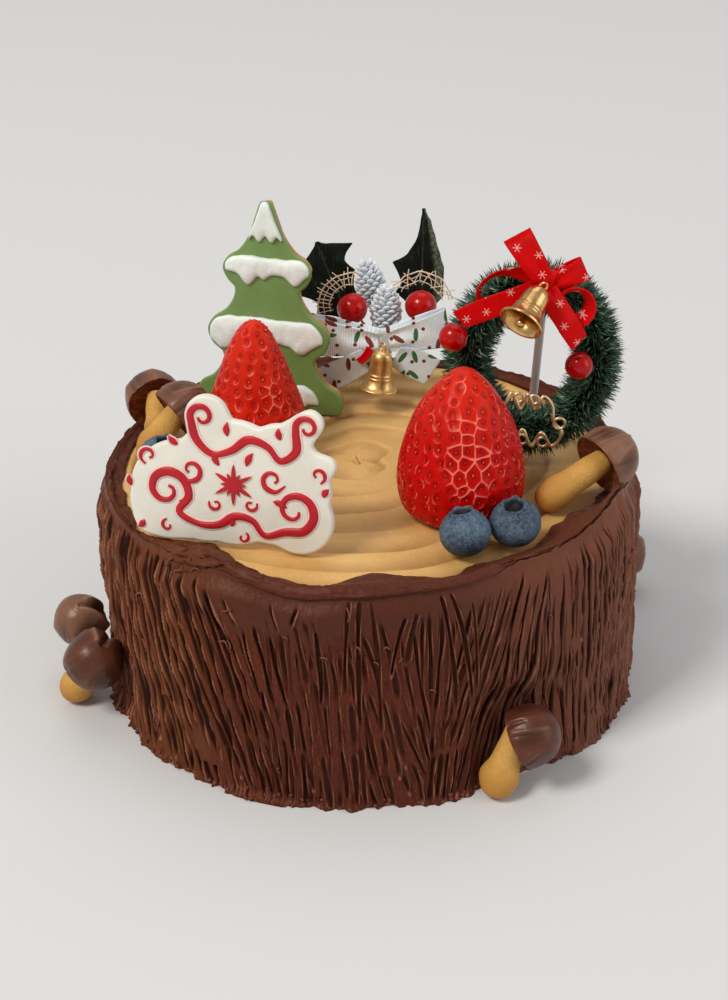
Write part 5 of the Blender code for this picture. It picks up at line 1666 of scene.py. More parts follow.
holly = {
    "left": {"base": (-6.0, 74, 77), "tip": (-15.4, 73, 102.3), "normal": (0, -1, 0.25),
             "fold": 0.10, "bend": 1.2,
             "spines": [(0, 1.5, 1.5), (0.2, 8.5, 6.5), (0.33, 7.0, 5.5), (0.55, 13.2, 8.0),
                        (0.70, 7.0, 6.0), (0.86, 5.6, 10.4), (1.0, 0.5, 0.5)]},
    "right": {"base": (17.2, 69, 78), "tip": (17.2, 70, 114.0), "normal": (-0.3, -1, 0.1),
              "fold": -0.15, "bend": 1.0,
              "spines": [(0, 1.5, 1.5), (0.24, 9.0, 6.5), (0.32, 7.0, 6.4), (0.50, 10.0, 6.6),
                         (0.62, 4.4, 5.4), (0.78, 1.6, 3.8), (0.9, 0.8, 2.4), (1.0, 0.4, 0.4)]},
}
pickCones = {"back": ((2.2, 66.0, 84.8), (-0.2, 0.05, 1)), "front": ((5.6, 56.0, 80.0), (0.02, 0.05, 1))}
coneShape = {"length": 15.2, "radius": 4.9, "rings": 12, "around": 8}
nettings = {
    "left": ((-8.4, 27.2), (4, 56, 61), 84, 198, (5.6, 6.8, 9.2, 11.8), 9),
    "right": ((12.1, 27.9), (4, 61, 59), 12, 144, (5.6, 6.8, 9.0, 11.4), 9),
}


def makeHolly(side, finish):
    leaf = holly[side]
    base = Vector(leaf["base"])
    run = Vector(leaf["tip"]) - base
    normal = Vector(leaf["normal"])
    normal = (normal - run * (normal.dot(run) / run.dot(run))).normalized()
    across = run.normalized().cross(normal)
    spines = np.array(leaf["spines"])
    share = np.linspace(0, 1, 90)
    # sharp spines with hollow curves between them
    halves = []
    for column in (1, 2):
        k = np.clip(np.searchsorted(spines[:, 0], share, side="right") - 1, 0, len(spines) - 2)
        s = (share - spines[k, 0]) / (spines[k + 1, 0] - spines[k, 0])
        a = spines[k, column]
        b = spines[k + 1, column]
        s = np.where(b > a, s ** 1.5, 1 - (1 - s) ** 1.5)
        halves.append(a + (b - a) * s)
    beside = np.linspace(-1, 1, 31)
    rows = []
    ribs = []
    for i, t in enumerate(share):
        wide = np.where(beside < 0, halves[0][i], halves[1][i]) * beside
        lift = leaf["fold"] * np.abs(wide) + leaf["bend"] * math.sin(math.pi * t)
        lift += 0.35 * np.sin(wide * 0.9 + t * 14) * np.abs(beside) ** 1.5
        vein = np.abs(((t * 7 - np.abs(wide) * 0.22) % 1) - 0.5)
        lift += -0.30 * np.exp(-(wide / 0.35) ** 2) - 0.10 * np.exp(-(vein / 0.06) ** 2)
        rows.append([base + run * float(t) + across * float(w) + normal * float(h)
                     for w, h in zip(wide, lift)])
        ribs.append(np.exp(-(wide / 0.3) ** 2) + 0.5 * np.exp(-(vein / 0.05) ** 2))
    ribs = np.array(ribs)
    strip = np.broadcast_to(easeStep(beside, 0.45, 0.75) * (side == "right"), ribs.shape)
    piece = layGrid("holly_" + side + "_leaf", np.array(rows), closed=False,
                    facts={"vein": ribs, "strip": strip})
    applyModifier(piece, "SOLIDIFY", thickness=0.45 * mm, offset=0)
    dress(piece, finish, "leaf", "holly_leaf_" + side)


def hollyFinish():
    finish, tree = newFinish("hollyFinish", {"Roughness": 0.5, "Specular IOR Level": 0.2})
    coords = pieceCoords(tree)
    dark, _ = mottle(tree, coords, 160, 0.4, 0.62, (5, 9, 7), (15, 26, 19))
    lengthwise = pieceCoords(tree, scale=(1, 1, 0.16))
    _, scratch = mottle(tree, lengthwise, 1500, 0.60, 0.70, (0, 0, 0), (255, 255, 255))
    worn = mixColour(tree, reckon(tree, "MULTIPLY", scratch, 0.3), dark, (100, 112, 98))
    pale, _ = mottle(tree, coords, 900, 0.4, 0.6, (54, 62, 50), (104, 112, 98))
    worn = mixColour(tree, attribute(tree, "strip"), worn, pale)
    colour = mixColour(tree, ramp(tree, attribute(tree, "vein"), 0.3, 1.8), worn, (70, 84, 70))
    return cover(finish, colour, grain(tree, coords, 260, 1400, 0.5, 0.0003))


def makeNetting(side, finish):
    centre, origin, start, stop, radii, cells = nettings[side]
    place = standing(origin, 0)
    dice = random.Random(31 if side == "left" else 47)
    loose = 0.3 if side == "left" else 1.0
    strands = []

    def point(radius, angle, depth):
        turn = math.radians(angle)
        return (centre[0] + radius * math.cos(turn), depth, centre[1] + radius * math.sin(turn))

    def strand(keys, thick):
        path = placed(evenPath(smoothPath(keys, 40), max(6, len(keys) * 2)), place)
        strands.append(tube("strand", path, thick, 6, up=(0, 1, 0.01)))

    for radius, thick in ((radii[1] + 0.1, 0.17), ((radii[1] + radii[3]) / 2 - 0.5, 0.14),
                          (radii[3] - 1.5, 0.23)):
        first = start - dice.uniform(0, 6)
        last = stop + dice.uniform(0, 6)
        keys = [point(radius + loose * dice.uniform(-0.5, 0.5), first + (last - first) * i / 10,
                      dice.uniform(-0.3, 0.3)) for i in range(11)]
        strand(keys, thick)
    ties = cells + 4
    for i in range(ties):
        angle = start + (stop - start) * (i + dice.uniform(0.35, 0.65)) / ties
        inside = radii[0] + dice.uniform(0.2, 1.0)
        outside = radii[3] + dice.uniform(-0.4 - 1.5 * loose, 0.7)
        skew = loose * dice.uniform(-15, 15)
        keys = [point(inside, angle - skew, dice.uniform(-0.3, 0.3)),
                point((inside + outside) / 2, angle + dice.uniform(-2, 2), dice.uniform(-0.3, 0.3)),
                point(outside, angle + skew, dice.uniform(-0.3, 0.3))]
        strand(keys, 0.16)
    net = joinUp("netting_" + side + "_straw", strands)
    dress(net, finish, "netting", "netting_" + side)


# cone of overlapping scales: each scale is a small bent lozenge
def makeCone(name, finish):
    foot, axis = pickCones[name]
    dice = random.Random(17)
    place = aim(foot, axis)
    length = coneShape["length"]
    radius = coneShape["radius"]
    share = np.linspace(0, 1, 30)
    core = radius * 0.74 * np.sin(math.pi * (0.10 + 0.88 * share)) ** 0.7
    section = np.stack([core, length * (0.02 + 0.85 * share)], axis=1)
    section[0, 0] = section[-1, 0] = 0
    points, _ = turned(section, 24)
    # the core shows between the scales and is painted blue-grey as their shade
    body = layGrid("core", placed(points, place), wrap=True, facts={"frostAndShade": np.zeros(points.shape[:2])})
    shape, faces = pebble()
    places = []
    tints = []
    rings = coneShape["rings"]
    for ring in range(rings):
        t = (ring + 0.35) / rings
        r = radius * 0.86 * math.sin(math.pi * (0.16 + 0.80 * t)) ** 0.6 - 0.35
        count = coneShape["around"] if r > 2.9 else 6 if r > 1.9 else 4
        for i in range(count):
            turn = 2 * math.pi * (i + 0.5 * (ring % 2) + dice.uniform(-0.06, 0.06)) / count
            out = Vector((math.cos(turn), math.sin(turn), 0))
            tilt = math.radians(24 + 50 * t ** 3 + dice.uniform(-8, 8))
            up = (Vector((0, 0, 1)) * math.cos(tilt) - out * math.sin(tilt)).normalized()
            wide = Vector((-math.sin(turn), math.cos(turn), 0)) + up * dice.uniform(-0.3, 0.3)
            wide.normalize()
            face = wide.cross(up).normalized()
            if face.dot(out) < 0:
                face = -face
            size = min(2 * math.pi * r / count * 0.46, 1.5) * dice.uniform(0.9, 1.08)
            spot = out * r + Vector((0, 0, length * t * 0.95 - 0.4))
            places.append(place @ axesAt(spot, wide * size, up * 0.56, face * 1.35))
            tints.append(dice.uniform(0.75, 1.0))
    scales = strew("scales", shape, faces, places, {"frostAndShade": tints})
    whole = joinUp("pinecone_" + name + "_scales", [scales, body])
    pick(whole)
    bpy.ops.object.shade_smooth()
    dress(whole, finish, "cone_white", "pinecone_" + name)


def coneFinish():
    finish, tree = newFinish("frostedCone", {"Roughness": 0.62})
    coords = pieceCoords(tree)
    # painted shade: blue-grey on the core and a little on some scales; the scales are white frost
    frostAndShade, _ = mottle(tree, coords, 420, 0.30, 0.6, (104, 124, 152), (156, 172, 192))
    tint = mixColour(tree, attribute(tree, "frostAndShade"), frostAndShade, (238, 241, 242))
    return cover(finish, tint, grain(tree, coords, 700, 2000, 0.5, 0.0002))


def makeBerry(name, centre, radius, finish, replaced):
    share = np.linspace(-90, 90, 44)
    section = np.stack([radius * np.cos(np.radians(share)), radius * np.sin(np.radians(share))], axis=1)
    section[:, 1] -= 0.12 * radius * np.exp(-((share + 90) / 12) ** 2) * np.sign(share)
    section[0, 0] = section[-1, 0] = 0
    points, angles = turned(section, 56)
    points[:, :, :2] *= (1 + 0.012 * np.cos(3 * angles + radius))[None, :, None]
    place = aim(centre, (0.15, -0.35, 1))
    dress(layGrid(name, placed(points, place), wrap=True), finish, "berry_red", replaced)


def berryFinish():
    return twoToneFinish("lacquerBerry", (160, 0, 1), (192, 2, 5), (220, 0.35, 0.7),
                         (120, 700, 0.2, 0.00008),
                         {"Roughness": 0.2, "Specular IOR Level": 0.22, "Coat Weight": 0.16,
                          "Coat Roughness": 0.08})


# bell turned from its profile, with a hanging loop and a clapper
def makeBell(name, top, axis, length, mouth, finish, replaced):
    place = aim(top, axis)
    outer = [(0.0, -0.25), (0.9, -0.2), (mouth * 0.30, 0.1), (mouth * 0.46, 0.7), (mouth * 0.55, 2.0),
             (mouth * 0.585, length * 0.36), (mouth * 0.62, length * 0.55), (mouth * 0.70, length * 0.72),
             (mouth * 0.82, length * 0.86), (mouth * 0.99, length * 0.965), (mouth, length)]
    inner = [(mouth * 0.955, length * 1.004), (mouth * 0.80, length * 0.93), (mouth * 0.62, length * 0.74),
             (mouth * 0.52, length * 0.4), (mouth * 0.34, 1.6), (0, 1.4)]
    section = np.concatenate([smoothPath(outer, 70), smoothPath(inner, 30)])
    section[0, 0] = section[-1, 0] = 0
    level = section[:, 1] / length
    bands = 0.16 * np.exp(-((level - 0.60) / 0.022) ** 2) + 0.14 * np.exp(-((level - 0.68) / 0.02) ** 2)
    bands += 0.18 * np.exp(-((level - 0.95) / 0.022) ** 2)
    outward = np.arange(len(section)) < 70
    section[:, 0] += np.where(outward, bands, 0) * (section[:, 0] > 1)
    points, _ = turned(section, 72)
    shell = layGrid("shell", placed(points, place), wrap=True)
    ring = np.linspace(0, 2 * math.pi, 25)
    loop = np.stack([1.15 * np.cos(ring), 0 * ring, -1.2 + 1.25 * np.sin(ring)], axis=1)
    knob = layGrid("loop", placed(tubePoints(loop, 0.36, 10, False, (0, 1, 0)), place), wrap=True)
    drop = [(0.0, 0.0, 1.5), (0.1, 0, length * 0.5), (0, 0, length * 0.80), (0, 0, length * 0.92),
            (0, 0, length * 1.02), (0, 0, length * 1.08)]
    clapper = tube("clapper", placed(smoothPath(drop, 16), place),
                   np.interp(np.linspace(0, 1, 16), (0, 0.6, 0.78, 0.88, 1), (0.3, 0.3, 0.9, 1.45, 0.5)),
                   14, up=(0, 1, 0.2))
    whole = joinUp(name, [shell, knob, clapper])
    edit(whole, faceOut)
    dress(whole, finish, "gold", replaced)


def goldFinish(name, rough, low, high):
    return twoToneFinish(name, low, high, (300, 0.35, 0.7), (260, 1200, 0.3, 0.00004),
                         {"Roughness": rough, "Metallic": 1.0})


# bow loop: out from the knot, round a fold and back behind, pleated where it is pinched
def bowLoop(name, start, reach, width, waist, belly, seed, deep, bow):
    count, across = bow["along"], bow["across"]
    turn = np.linspace(0, math.pi, count)
    out = np.sin(turn) ** 0.8
    back = np.array((0, bow["fold"], 0)) * ((1 - np.cos(turn)) / 2)[:, None]
    path = np.array(start) + np.array(reach) * out[:, None] + back
    path = path + np.array((0, -belly, 0)) * (out * np.sign(np.cos(turn)) * np.abs(np.cos(turn)))[:, None]
    widths = np.array(width) * (waist + (1 - waist) * out)[:, None]
    u = np.linspace(0, 1, count)[:, None]
    v = np.linspace(0, 1, across)[None, :]
    pleats = deep * np.sin(v * 9.5 + seed) * np.exp(-(np.minimum(u, 1 - u) / 0.16) ** 2)
    pleats = pleats + 0.12 * hills(u * 5 + seed, v * 3 + seed, 60 + int(seed))
    return ribbon(name, path, widths, bow["thick"], across, waves=pleats)


# loose end of a bow: pleats fade from the knot, slow waves run along it
def streamer(name, keys, widths, count, pleat, fade, wave, skew, bow):
    u = np.linspace(0, 1, count)[:, None]
    v = np.linspace(0, 1, 15)[None, :]
    waves = pleat * np.sin(v * 8) * np.exp(-(u / fade) ** 2) + 0.25 * np.sin(u * wave + v * skew)
    return ribbon(name, smoothPath(keys, count), drawnOut(widths, count), bow["thick"], 15, waves=waves)


def knotRing(x, y, z, wide, deep, folds):
    ring = roundTurns(40)
    return np.stack([x + wide * folds * np.cos(ring), y + deep * folds * np.sin(ring),
                     z + 0 * ring], axis=1)


whiteBow = {
    "thick": 0.35, "along": 60, "across": 21, "fold": 3.3,
    # loops: start, reach, width at the fold, share of it at the knot, belly, pleats
    "left": ((4.0, 43.9, 80.5), (-22.4, 0.9, 2.4), (0.6, 0, 13.2), 0.55, 1.0, 1.0, 0.45),
    "right": ((6.4, 43.9, 81.4), (17.6, 0.9, 3.8), (-1.8, 0, 12.0), 0.55, 1.0, 4.0, 0.45),
    # tails: path, and the width along it
    "leftTail": ([(2.0, 43.6, 77.0), (-6.0, 43.2, 72.6), (-13.0, 43.6, 68.8)],
                 [(-3.2, 0, 5.6), (-3.9, 0, 7.0), (-4.2, 0, 7.2), (-4.4, 0, 7.6), (-4.4, 0, 7.4)]),
    "rightTail": ([(8.6, 43.6, 77.2), (14.2, 43.2, 74.6), (19.6, 43.6, 71.6)],
                  [(3.2, 0, 5.8), (4.0, 0, 7.6), (4.4, 0, 8.6), (4.6, 0, 8.6), (4.8, 0, 8.0)]),
    "knot": (5.2, 45.6, 76.5), "knotHeight": 8.2, "knotHalf": (1.9, 1.6),
}


def makeWhiteBow(finish):
    for side in ("left", "right"):
        loop = bowLoop("white_bow_" + side, *whiteBow[side], whiteBow)
        dress(loop, finish, "ribbon_white", "white_loop_" + side)
    for side in ("left", "right"):
        tail = streamer("white_streamer_" + side, *whiteBow[side + "Tail"], 30, 0.4, 0.25, 7, 2, whiteBow)
        dress(tail, finish, "ribbon_white", "white_tail_" + side)
    ring = roundTurns(40)
    x, y, z = whiteBow["knot"]
    wide, deep = whiteBow["knotHalf"]
    rows = [knotRing(x, y, z - 0.1, 0, 0, 1)]
    for level in np.linspace(0, 1, 18):
        swell = 0.86 + 0.36 * math.sin(math.pi * level) ** 0.6
        folds = 1 + 0.08 * np.cos(ring * 7 + 3 * level) + 0.05 * np.cos(ring * 13)
        rows.append(knotRing(x, y, z + whiteBow["knotHeight"] * level, wide * swell, deep * swell, folds))
    rows.append(knotRing(x, y, z + whiteBow["knotHeight"] + 0.1, 0, 0, 1))
    dress(layGrid("white_bow_knot", np.array(rows), wrap=True), finish, "ribbon_white", "white_knot")


# cells scattered over a ribbon seen from its front, and the way from each cell's centre
def frontCells(tree, vector, scale, scatter):
    axes = addNode(tree, "SeparateXYZ", {"Vector": vector}).outputs
    flat = addNode(tree, "CombineXYZ", {"X": axes["X"], "Y": axes["Z"]}).outputs[0]
    cells = addNode(tree, "TexVoronoi", {"Vector": flat, "Scale": scale, "Randomness": scatter},
                    voronoi_dimensions="2D").outputs
    away = addNode(tree, "VectorMath", {0: flat, 1: cells["Position"]}, operation="SUBTRACT")
    return cells, away.outputs[0]


# leaf shapes printed at scattered places
def makeLeafPrint():
    group, given, out = newEffect("leafPrint", {"Vector": (0, 0, 0), "Scale": 150.0, "Long": 480.0,
                                                "Wide": 1350.0}, {"Mask": "Float", "Pick": "Color"})
    cells, away = frontCells(group, given["Vector"], given["Scale"], 0.7)
    picked = addNode(group, "SeparateColor", {"Color": cells["Color"]}).outputs[0]
    angle = reckon(group, "MULTIPLY", picked, 6.28)
    spun = addNode(group, "VectorRotate", {"Vector": away, "Angle": angle},
                   rotation_type="Z_AXIS").outputs[0]
    stretch = addNode(group, "CombineXYZ", {"X": given["Long"], "Y": given["Wide"]}).outputs[0]
    sized = addNode(group, "VectorMath", {0: spun, 1: stretch}, operation="MULTIPLY").outputs[0]
    reach = addNode(group, "VectorMath", {0: sized}, operation="LENGTH").outputs["Value"]
    group.links.new(ramp(group, reach, 1.05, 0.9), out["Mask"])
    group.links.new(cells["Color"], out["Pick"])
    return group


leafPrint = makeLeafPrint()


def whiteRibbonFinish():
    finish, tree = newFinish("whiteRibbonFinish", {"Roughness": 0.55, "Specular IOR Level": 0.3})
    coords = pieceCoords(tree)
    large = addNode(tree, "Group", {"Vector": coords}, node_tree=leafPrint)
    small = addNode(tree, "Group", {"Vector": coords, "Scale": 190.0, "Long": 1700.0,
                                    "Wide": 1700.0}, node_tree=leafPrint)
    split = addNode(tree, "SeparateColor", {"Color": large.outputs["Pick"]})
    ink = mixColour(tree, ramp(tree, split.outputs[1], 0.48, 0.52), (128, 48, 40), (58, 112, 66))
    cloth, _ = mottle(tree, coords, 240, 0.35, 0.65, (230, 240, 247), (243, 251, 255))
    dotted = mixColour(tree, small.outputs["Mask"], cloth, (128, 48, 40))
    printed = mixColour(tree, large.outputs["Mask"], dotted, ink)
    ribs = addNode(tree, "TexWave", {"Vector": pieceCoords(tree, "UV"), "Scale": 26.0,
                                     "Distortion": 0.6, "Detail": 1.0}, bands_direction="Y")
    bump = addNode(tree, "Bump", {"Height": ribs.outputs["Fac"], "Distance": 0.00022, "Strength": 0.7})
    return cover(finish, printed, bump.outputs[0])


def stickFinish():
    return twoToneFinish("whiteStick", (206, 210, 210), (224, 227, 226), (90, 0.35, 0.65),
                         (120, 800, 0.4, 0.00008), {"Roughness": 0.32, "Subsurface Weight": 0.15})


pickParts = {
    "berries": {"left": ((-4.4, 53.6, 88.2), 4.6), "right": ((16.2, 53.6, 88.9), 4.8)},
    "stem": [(5.4, 62.0, 61.3), (5.45, 62.0, 66), (5.35, 62.0, 72), (5.4, 62.0, 79)],
    "bell": ((4.6, 40.2, 80.0), (-0.12, -0.10, -1), 12.1, 5.8),
    "bellRibbon": [(-2.4, 42.4, 75.4), (-0.6, 42.2, 77.2), (1.0, 42.4, 79.8)],
    # wires run from one place on the stem to each leaf, cone, berry and netting
    "wireFoot": (5.4, 62.0, 74.0),
    "wireEnds": [(-6.0, 73.6, 78.5), (16.6, 68.8, 80), (2.4, 66, 86), (5.6, 57.2, 81.5), (-4.4, 55.6, 87),
                 (16.2, 55.6, 87.5), (-8.4, 56.4, 80.6), (13, 61.2, 80.4), (5.2, 47, 80)],
}


def makePick():
    for side in ("left", "right"):
        makeHolly(side, finishes["leaf"])
        makeNetting(side, finishes["straw"])
    for name in pickCones:
        makeCone(name, finishes["cone"])
    for side, berry in pickParts["berries"].items():
        makeBerry("pick_bead_" + side, *berry, finishes["berry"], "pick_berry_" + side)
    stem = tube("pick_stem", pickParts["stem"], 1.1, 20, up=(0, 1, 0))
    dress(stem, finishes["stick"], "stick_white", "pick_wire")
    makeWhiteBow(finishes["whiteRibbon"])
    makeBell("pick_gold_bell", *pickParts["bell"], finishes["bellGold"], "pick_bell")
    twist = smoothPath(pickParts["bellRibbon"], 16)
    stub = ribbon("bell_ribbon_stub", twist, np.repeat([[1.8, 0, -1.4]], 16, axis=0), 0.4, 7, bow=0.3)
    dress(stub, finishes["redRibbon"], "red_icing", "bell_ribbon")
    wires = []
    foot = np.array(pickParts["wireFoot"])
    for end in np.array(pickParts["wireEnds"]):
        middle = (foot + end) / 2 + (0, 0.6, -1.2)
        wires.append(tube("wire", smoothPath([foot, middle, end], 14), 0.34, 8, up=(0, 1, 0.3)))
    dress(joinUp("pick_wires", wires), finishes["wire"], "stick_white")


# tinsel wreath

wreath = {
    "centre": (45.7, 5.0, 92.4), "halfWidth": 17.8, "halfHeight": 21.6, "reach": 8.7,
    "needles": 10500, "needleWidth": 0.32, "needleShort": 6.2, "lean": 0.42,
    "charm": [(-9.6, 8.6), (-7.4, 4.6), (-5.0, 8.6), (-2.6, 3.8), (-0.6, 8.2), (1.4, 3.6),
              (3.6, 7.6), (6.2, 4.4), (6.6, 0.0), (9.0, -3.4), (6.4, -7.6), (3.4, -3.4),
              (0.8, -7.4), (-1.8, -2.6), (-4.2, -6.6), (-6.4, -2.2)],
    # small rings of the charm: x, z, radius
    "charmRings": [(-9.9, 5.6, 1.5), (-3.2, 7.2, 1.3), (1.0, 6.6, 1.3), (8.2, -0.6, 1.6),
                   (3.8, -6.2, 1.4), (-1.8, -5.4, 1.4), (-6.6, -4.4, 1.4)],
    "charmPlace": (44.6, -6.0, 78.4),
    "rod": ((46.6, 15.7, 61.3), (49.2, 15.7, 107.0)), "rodRadius": 1.2,
    "berries": {"left": ((23.2, -5.8, 103.2), 3.9), "right": ((57.2, -7.4, 95.6), 3.8)},
    "bell": ((45.4, -13.4, 119.6), (-0.477, -0.66, -0.52), 11.6, 6.0),
}


def ringPoint(turn):
    return np.array(wreath["centre"]) + np.array((wreath["halfWidth"] * math.cos(turn), 0,
                                                  wreath["halfHeight"] * math.sin(turn)))


def makeTinsel(finish, coreFinish):
    dice = random.Random(9)
    shape = [(0, 0, 0), (-1, 0, 0.55), (1, 0, 0.55), (0, 0.55, 0.5), (0, 0, 1)]
    faces = [(0, 3, 1), (0, 2, 3), (1, 3, 4), (3, 2, 4), (0, 1, 2), (1, 4, 2)]
    places = []
    tints = []
    bushy = [dice.uniform(0.86, 1.06) for _ in range(60)]
    for i in range(wreath["needles"]):
        turn = 2 * math.pi * (i + dice.random()) / wreath["needles"]
        out = Vector((wreath["halfHeight"] * math.cos(turn), 0,
                      wreath["halfWidth"] * math.sin(turn))).normalized()
        run = Vector((-out.z, 0, out.x))
        spin = dice.uniform(0, 2 * math.pi)
        radial = out * math.cos(spin) + Vector((0, math.sin(spin), 0))
        lean = dice.gauss(0, wreath["lean"])
        aimed = (radial + run * lean).normalized()
        # bristle lengths are capped by a bushiness that changes in steps round the ring
        reach = wreath["reach"] * bushy[int(turn / (2 * math.pi) * 60) % 60]
        length = min(dice.uniform(wreath["needleShort"], wreath["reach"] * 1.04), reach)
        start = Vector(ringPoint(turn)) + radial * 0.5
        wide = wreath["needleWidth"] * dice.uniform(0.8, 1.25)
        side = aimed.cross(Vector([dice.uniform(-1, 1) for _ in range(3)])).normalized()
        places.append(axesAt(start, side * wide, side.cross(aimed) * wide, aimed * length))
        tints.append(dice.random())
    dress(strew("tinsel_bristles", shape, faces, places, {"tint": tints}), finish, "tinsel",
          "wreath_garland")
    twists = []
    for phase in (0.0, math.pi):
        path = []
        for t in np.linspace(0, 2 * math.pi, 241):
            out = np.array((wreath["halfHeight"] * math.cos(t), 0, wreath["halfWidth"] * math.sin(t)))
            out /= np.linalg.norm(out)
            a = 42 * t + phase
            path.append(ringPoint(t) + out * 0.42 * math.cos(a) + np.array((0, 0.42 * math.sin(a), 0)))
        rows = tubePoints(np.array(path), 0.42, 7, False, (0, 1, 0.001))
        rows[-1] = rows[0]
        twists.append(layGrid("twist", rows, wrap=True))
    dress(joinUp("wreath_core_wire", twists), coreFinish, "tinsel")


def tinselFinish():
    finish, tree = newFinish("tinselFinish", {"Roughness": 0.42, "Specular IOR Level": 0.55})
    tint = attribute(tree, "tint")
    deep = mixColour(tree, ramp(tree, tint, 0.0, 0.6), (6, 26, 14), (28, 70, 40))
    fresh = mixColour(tree, ramp(tree, tint, 0.6, 0.95), deep, (98, 142, 104))
    silver = mixColour(tree, ramp(tree, tint, 0.965, 0.97), fresh, (196, 208, 194))
    return cover(finish, silver, grain(tree, pieceCoords(tree), 500, 1500, 0.5, 0.0001))


redBow = {
    "thick": 0.4, "along": 50, "across": 17, "fold": 2.6,
    # loops: start, reach, width at the fold, share of it at the knot, belly, pleats
    "up": ((46.6, -9.9, 120.6), (-7.6, 0, 12.4), (6.8, 0, 3.8), 0.72, 0.6, 2.0, 0.35),
    "right": ((48.2, -9.4, 119.6), (9.0, 0, 4.2), (-2.8, 0, 6.0), 0.7, 0.4, 5.0, 0.3),
    # left loop: it rolls over and narrows as it turns away; path, and the width along it
    "leftPath": [(46.4, -6.4, 119.6), (43.0, -5.8, 120.8), (37.6, -5.6, 121.6), (32.4, -5.6, 120.2),
                 (29.6, -5.6, 116.2), (30.4, -5.6, 112.8)],
    "leftWidths": [(0.5, -0.3, 5.2), (0.5, -0.6, 5.0), (0.5, -1.2, 4.4), (0, -1.6, 3.0),
                   (-0.5, -1.8, 2.0), (-1, -2.0, 1.0), (-1.2, -2.0, 0.5), (-1.2, -2.0, 0.2),
                   (-1.2, -2.0, 0)],
    # curl: centre, half sizes, from turn and to turn, width outward and to the front
    "curl": ((54.8, -8.6, 113.4), (4.3, 4.6), (138, -132), (2.6, -4.6)),
    # tails: path, and the width along it
    "leftTail": ([(47.0, -9.0, 118.4), (43.6, -8.4, 117.0), (34.6, -8.6, 113.6), (24.4, -9.4, 109.6)],
                 [(-2.2, 0, 4.8), (-2.8, 0, 5.6), (-2.8, 0, 5.6), (-2.8, 0, 5.6), (-2.8, 0, 5.6),
                  (-3.6, 0, 4.6)]),
    "rightTail": ([(47.2, -10.4, 118.8), (48.8, -11.6, 116.0), (52.6, -12.6, 110.4),
                   (56.4, -12.2, 104.2)],
                  [(5.0, 0, 2.2), (5.2, 0, 3.2), (5.2, 0, 3.2), (5.2, 0, 3.2), (3.6, 0, 4.6)]),
    "knot": (47.5, -8.6, 120.0), "knotHalf": (2.5, 2.2), "knotLean": 0.42,
}


def makeRedBow(finish):
    def finished(piece, replaced):
        dress(piece, finish, "ribbon_red", replaced)

    for side in ("up", "right"):
        finished(bowLoop("red_bow_" + side, *redBow[side], redBow), "red_loop_" + side)
    path = smoothPath(redBow["leftPath"], 44)
    widths = drawnOut(redBow["leftWidths"], 44)
    finished(ribbon("red_bow_left", path, widths, redBow["thick"], 13, bow=0.3), "red_loop_left")
    (x, y, z), (wide, tall), (first, last), (outward, front) = redBow["curl"]
    turn = np.radians(first + (last - first) * np.linspace(0, 1, 60))
    path = np.stack([x + wide * np.cos(turn), np.full(60, y), z + tall * np.sin(turn)], axis=1)
    widths = np.stack([outward * np.cos(turn), np.full(60, front), outward * np.sin(turn)], axis=1)
    finished(ribbon("red_bow_curl", path, widths, redBow["thick"], 13, bow=0.25), "red_curl_right")
    for side in ("left", "right"):
        tail = streamer("red_streamer_" + side, *redBow[side + "Tail"], 50, 0.35, 0.2, 9, 1, redBow)
        finished(tail, "red_tail_" + side)
    ring = roundTurns(40)
    x, y, z = redBow["knot"]
    wide, deep = redBow["knotHalf"]
    rows = []
    for level in np.linspace(-3.2, 3.2, 20):
        swell = math.sqrt(max(1 - (level / 3.9) ** 4, 0.0)) if abs(level) < 3.15 else 0.0
        folds = 1 + 0.07 * np.cos(ring * 6 + level) + 0.04 * np.cos(ring * 11)
        rows.append(knotRing(x + redBow["knotLean"] * level, y, z + level, wide * swell, deep * swell,
                             folds))
    finished(layGrid("red_bow_knot", np.array(rows), wrap=True), "red_knot")


def redRibbonFinish():
    finish, tree = newFinish("redRibbonFinish", {"Roughness": 0.4, "Specular IOR Level": 0.16,
                                                 "Specular Tint": (1, 0.6, 0.55, 1)})
    coords = pieceCoords(tree)
    _, away = frontCells(tree, coords, 165.0, 0.6)
    # six arms of even width round each cell's centre
    local = addNode(tree, "SeparateXYZ", {"Vector": away}).outputs
    turn = reckon(tree, "MULTIPLY", reckon(tree, "ARCTAN2", local["Y"], local["X"]), 3.0)
    off = reckon(tree, "ABSOLUTE", reckon(tree, "SINE", turn))
    radius = addNode(tree, "VectorMath", {0: away}, operation="LENGTH").outputs["Value"]
    arms = ramp(tree, reckon(tree, "MULTIPLY", off, radius), 0.00042, 0.00026)
    flake = reckon(tree, "MULTIPLY", arms, ramp(tree, radius, 0.00125, 0.00110))
    satin, _ = mottle(tree, coords, 260, 0.35, 0.65, (206, 0, 3), (222, 4, 8))
    printed = mixColour(tree, reckon(tree, "MULTIPLY", flake, 0.75), satin, (248, 186, 178))
    weave = addNode(tree, "TexWave", {"Vector": pieceCoords(tree, "UV"), "Scale": 40.0,
                                      "Distortion": 0.3}, bands_direction="Y")
    bump = addNode(tree, "Bump", {"Height": weave.outputs["Fac"], "Distance": 0.0001, "Strength": 0.5})
    return cover(finish, printed, bump.outputs[0])


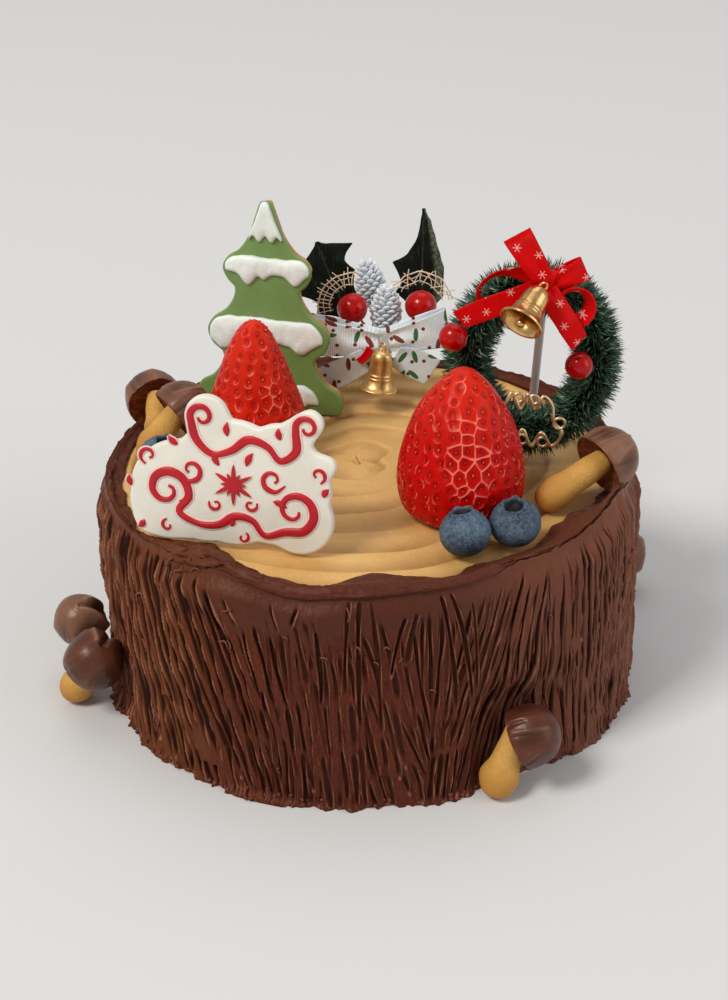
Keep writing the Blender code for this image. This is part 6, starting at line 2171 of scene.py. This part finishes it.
def makeCharm(finish):
    x, y, z = wreath["charmPlace"]
    path = evenPath(smoothPath(wreath["charm"], 300), 190)
    u = np.linspace(0, 1, 190)
    wire = np.stack([x + path[:, 0], y + 0.25 * np.sin(u * 60), z + path[:, 1]], axis=1)
    thick = 0.56 * (0.75 + 0.25 * np.sin(u * 46) ** 2)
    pieces = [tube("line", wire, thick, 10, up=(0, 1, 0.001))]
    turn = np.linspace(0, 2 * math.pi, 25)
    for right, up, size in wreath["charmRings"]:
        ring = np.stack([x + right + size * np.cos(turn), np.full(25, y - 0.1),
                         z + up + size * np.sin(turn)], axis=1)
        pieces.append(tube("ring", ring, 0.42, 8, False, (0, 1, 0.001)))
    dress(joinUp("gold_wave_charm", pieces), finish, "gold", "gold_charm")


def makeWreath():
    makeTinsel(finishes["tinsel"], finishes["wire"])
    rod = tube("wreath_stick_rod", np.linspace(*wreath["rod"], 24), wreath["rodRadius"], 24, up=(0, 1, 0))
    dress(rod, finishes["stick"], "stick_white", "wreath_stick")
    for side, berry in wreath["berries"].items():
        makeBerry("wreath_bead_" + side, *berry, finishes["berry"], "wreath_berry_" + side)
    makeRedBow(finishes["redRibbon"])
    makeBell("wreath_gold_bell", *wreath["bell"], finishes["gold"], "wreath_bell")
    makeCharm(finishes["paleGold"])


finishes = {
    "leaf": hollyFinish(),
    "straw": biscuitFinish("strawFinish", (214, 186, 158), (238, 220, 198)),
    "cone": coneFinish(),
    "berry": berryFinish(),
    "stick": stickFinish(),
    "whiteRibbon": whiteRibbonFinish(),
    "redRibbon": redRibbonFinish(),
    "gold": goldFinish("goldFinish", 0.26, (206, 160, 98), (236, 198, 136)),
    "bellGold": goldFinish("bellGoldFinish", 0.34, (222, 172, 104), (244, 206, 144)),
    "paleGold": goldFinish("paleGoldFinish", 0.42, (226, 196, 150), (242, 216, 176)),
    "tinsel": tinselFinish(),
    "wire": icingFinish("wireFinish", (30, 48, 36), (58, 74, 58), 0.4, 0.0001),
}
makePick()
print("pick made")
makeWreath()
print("wreath made")
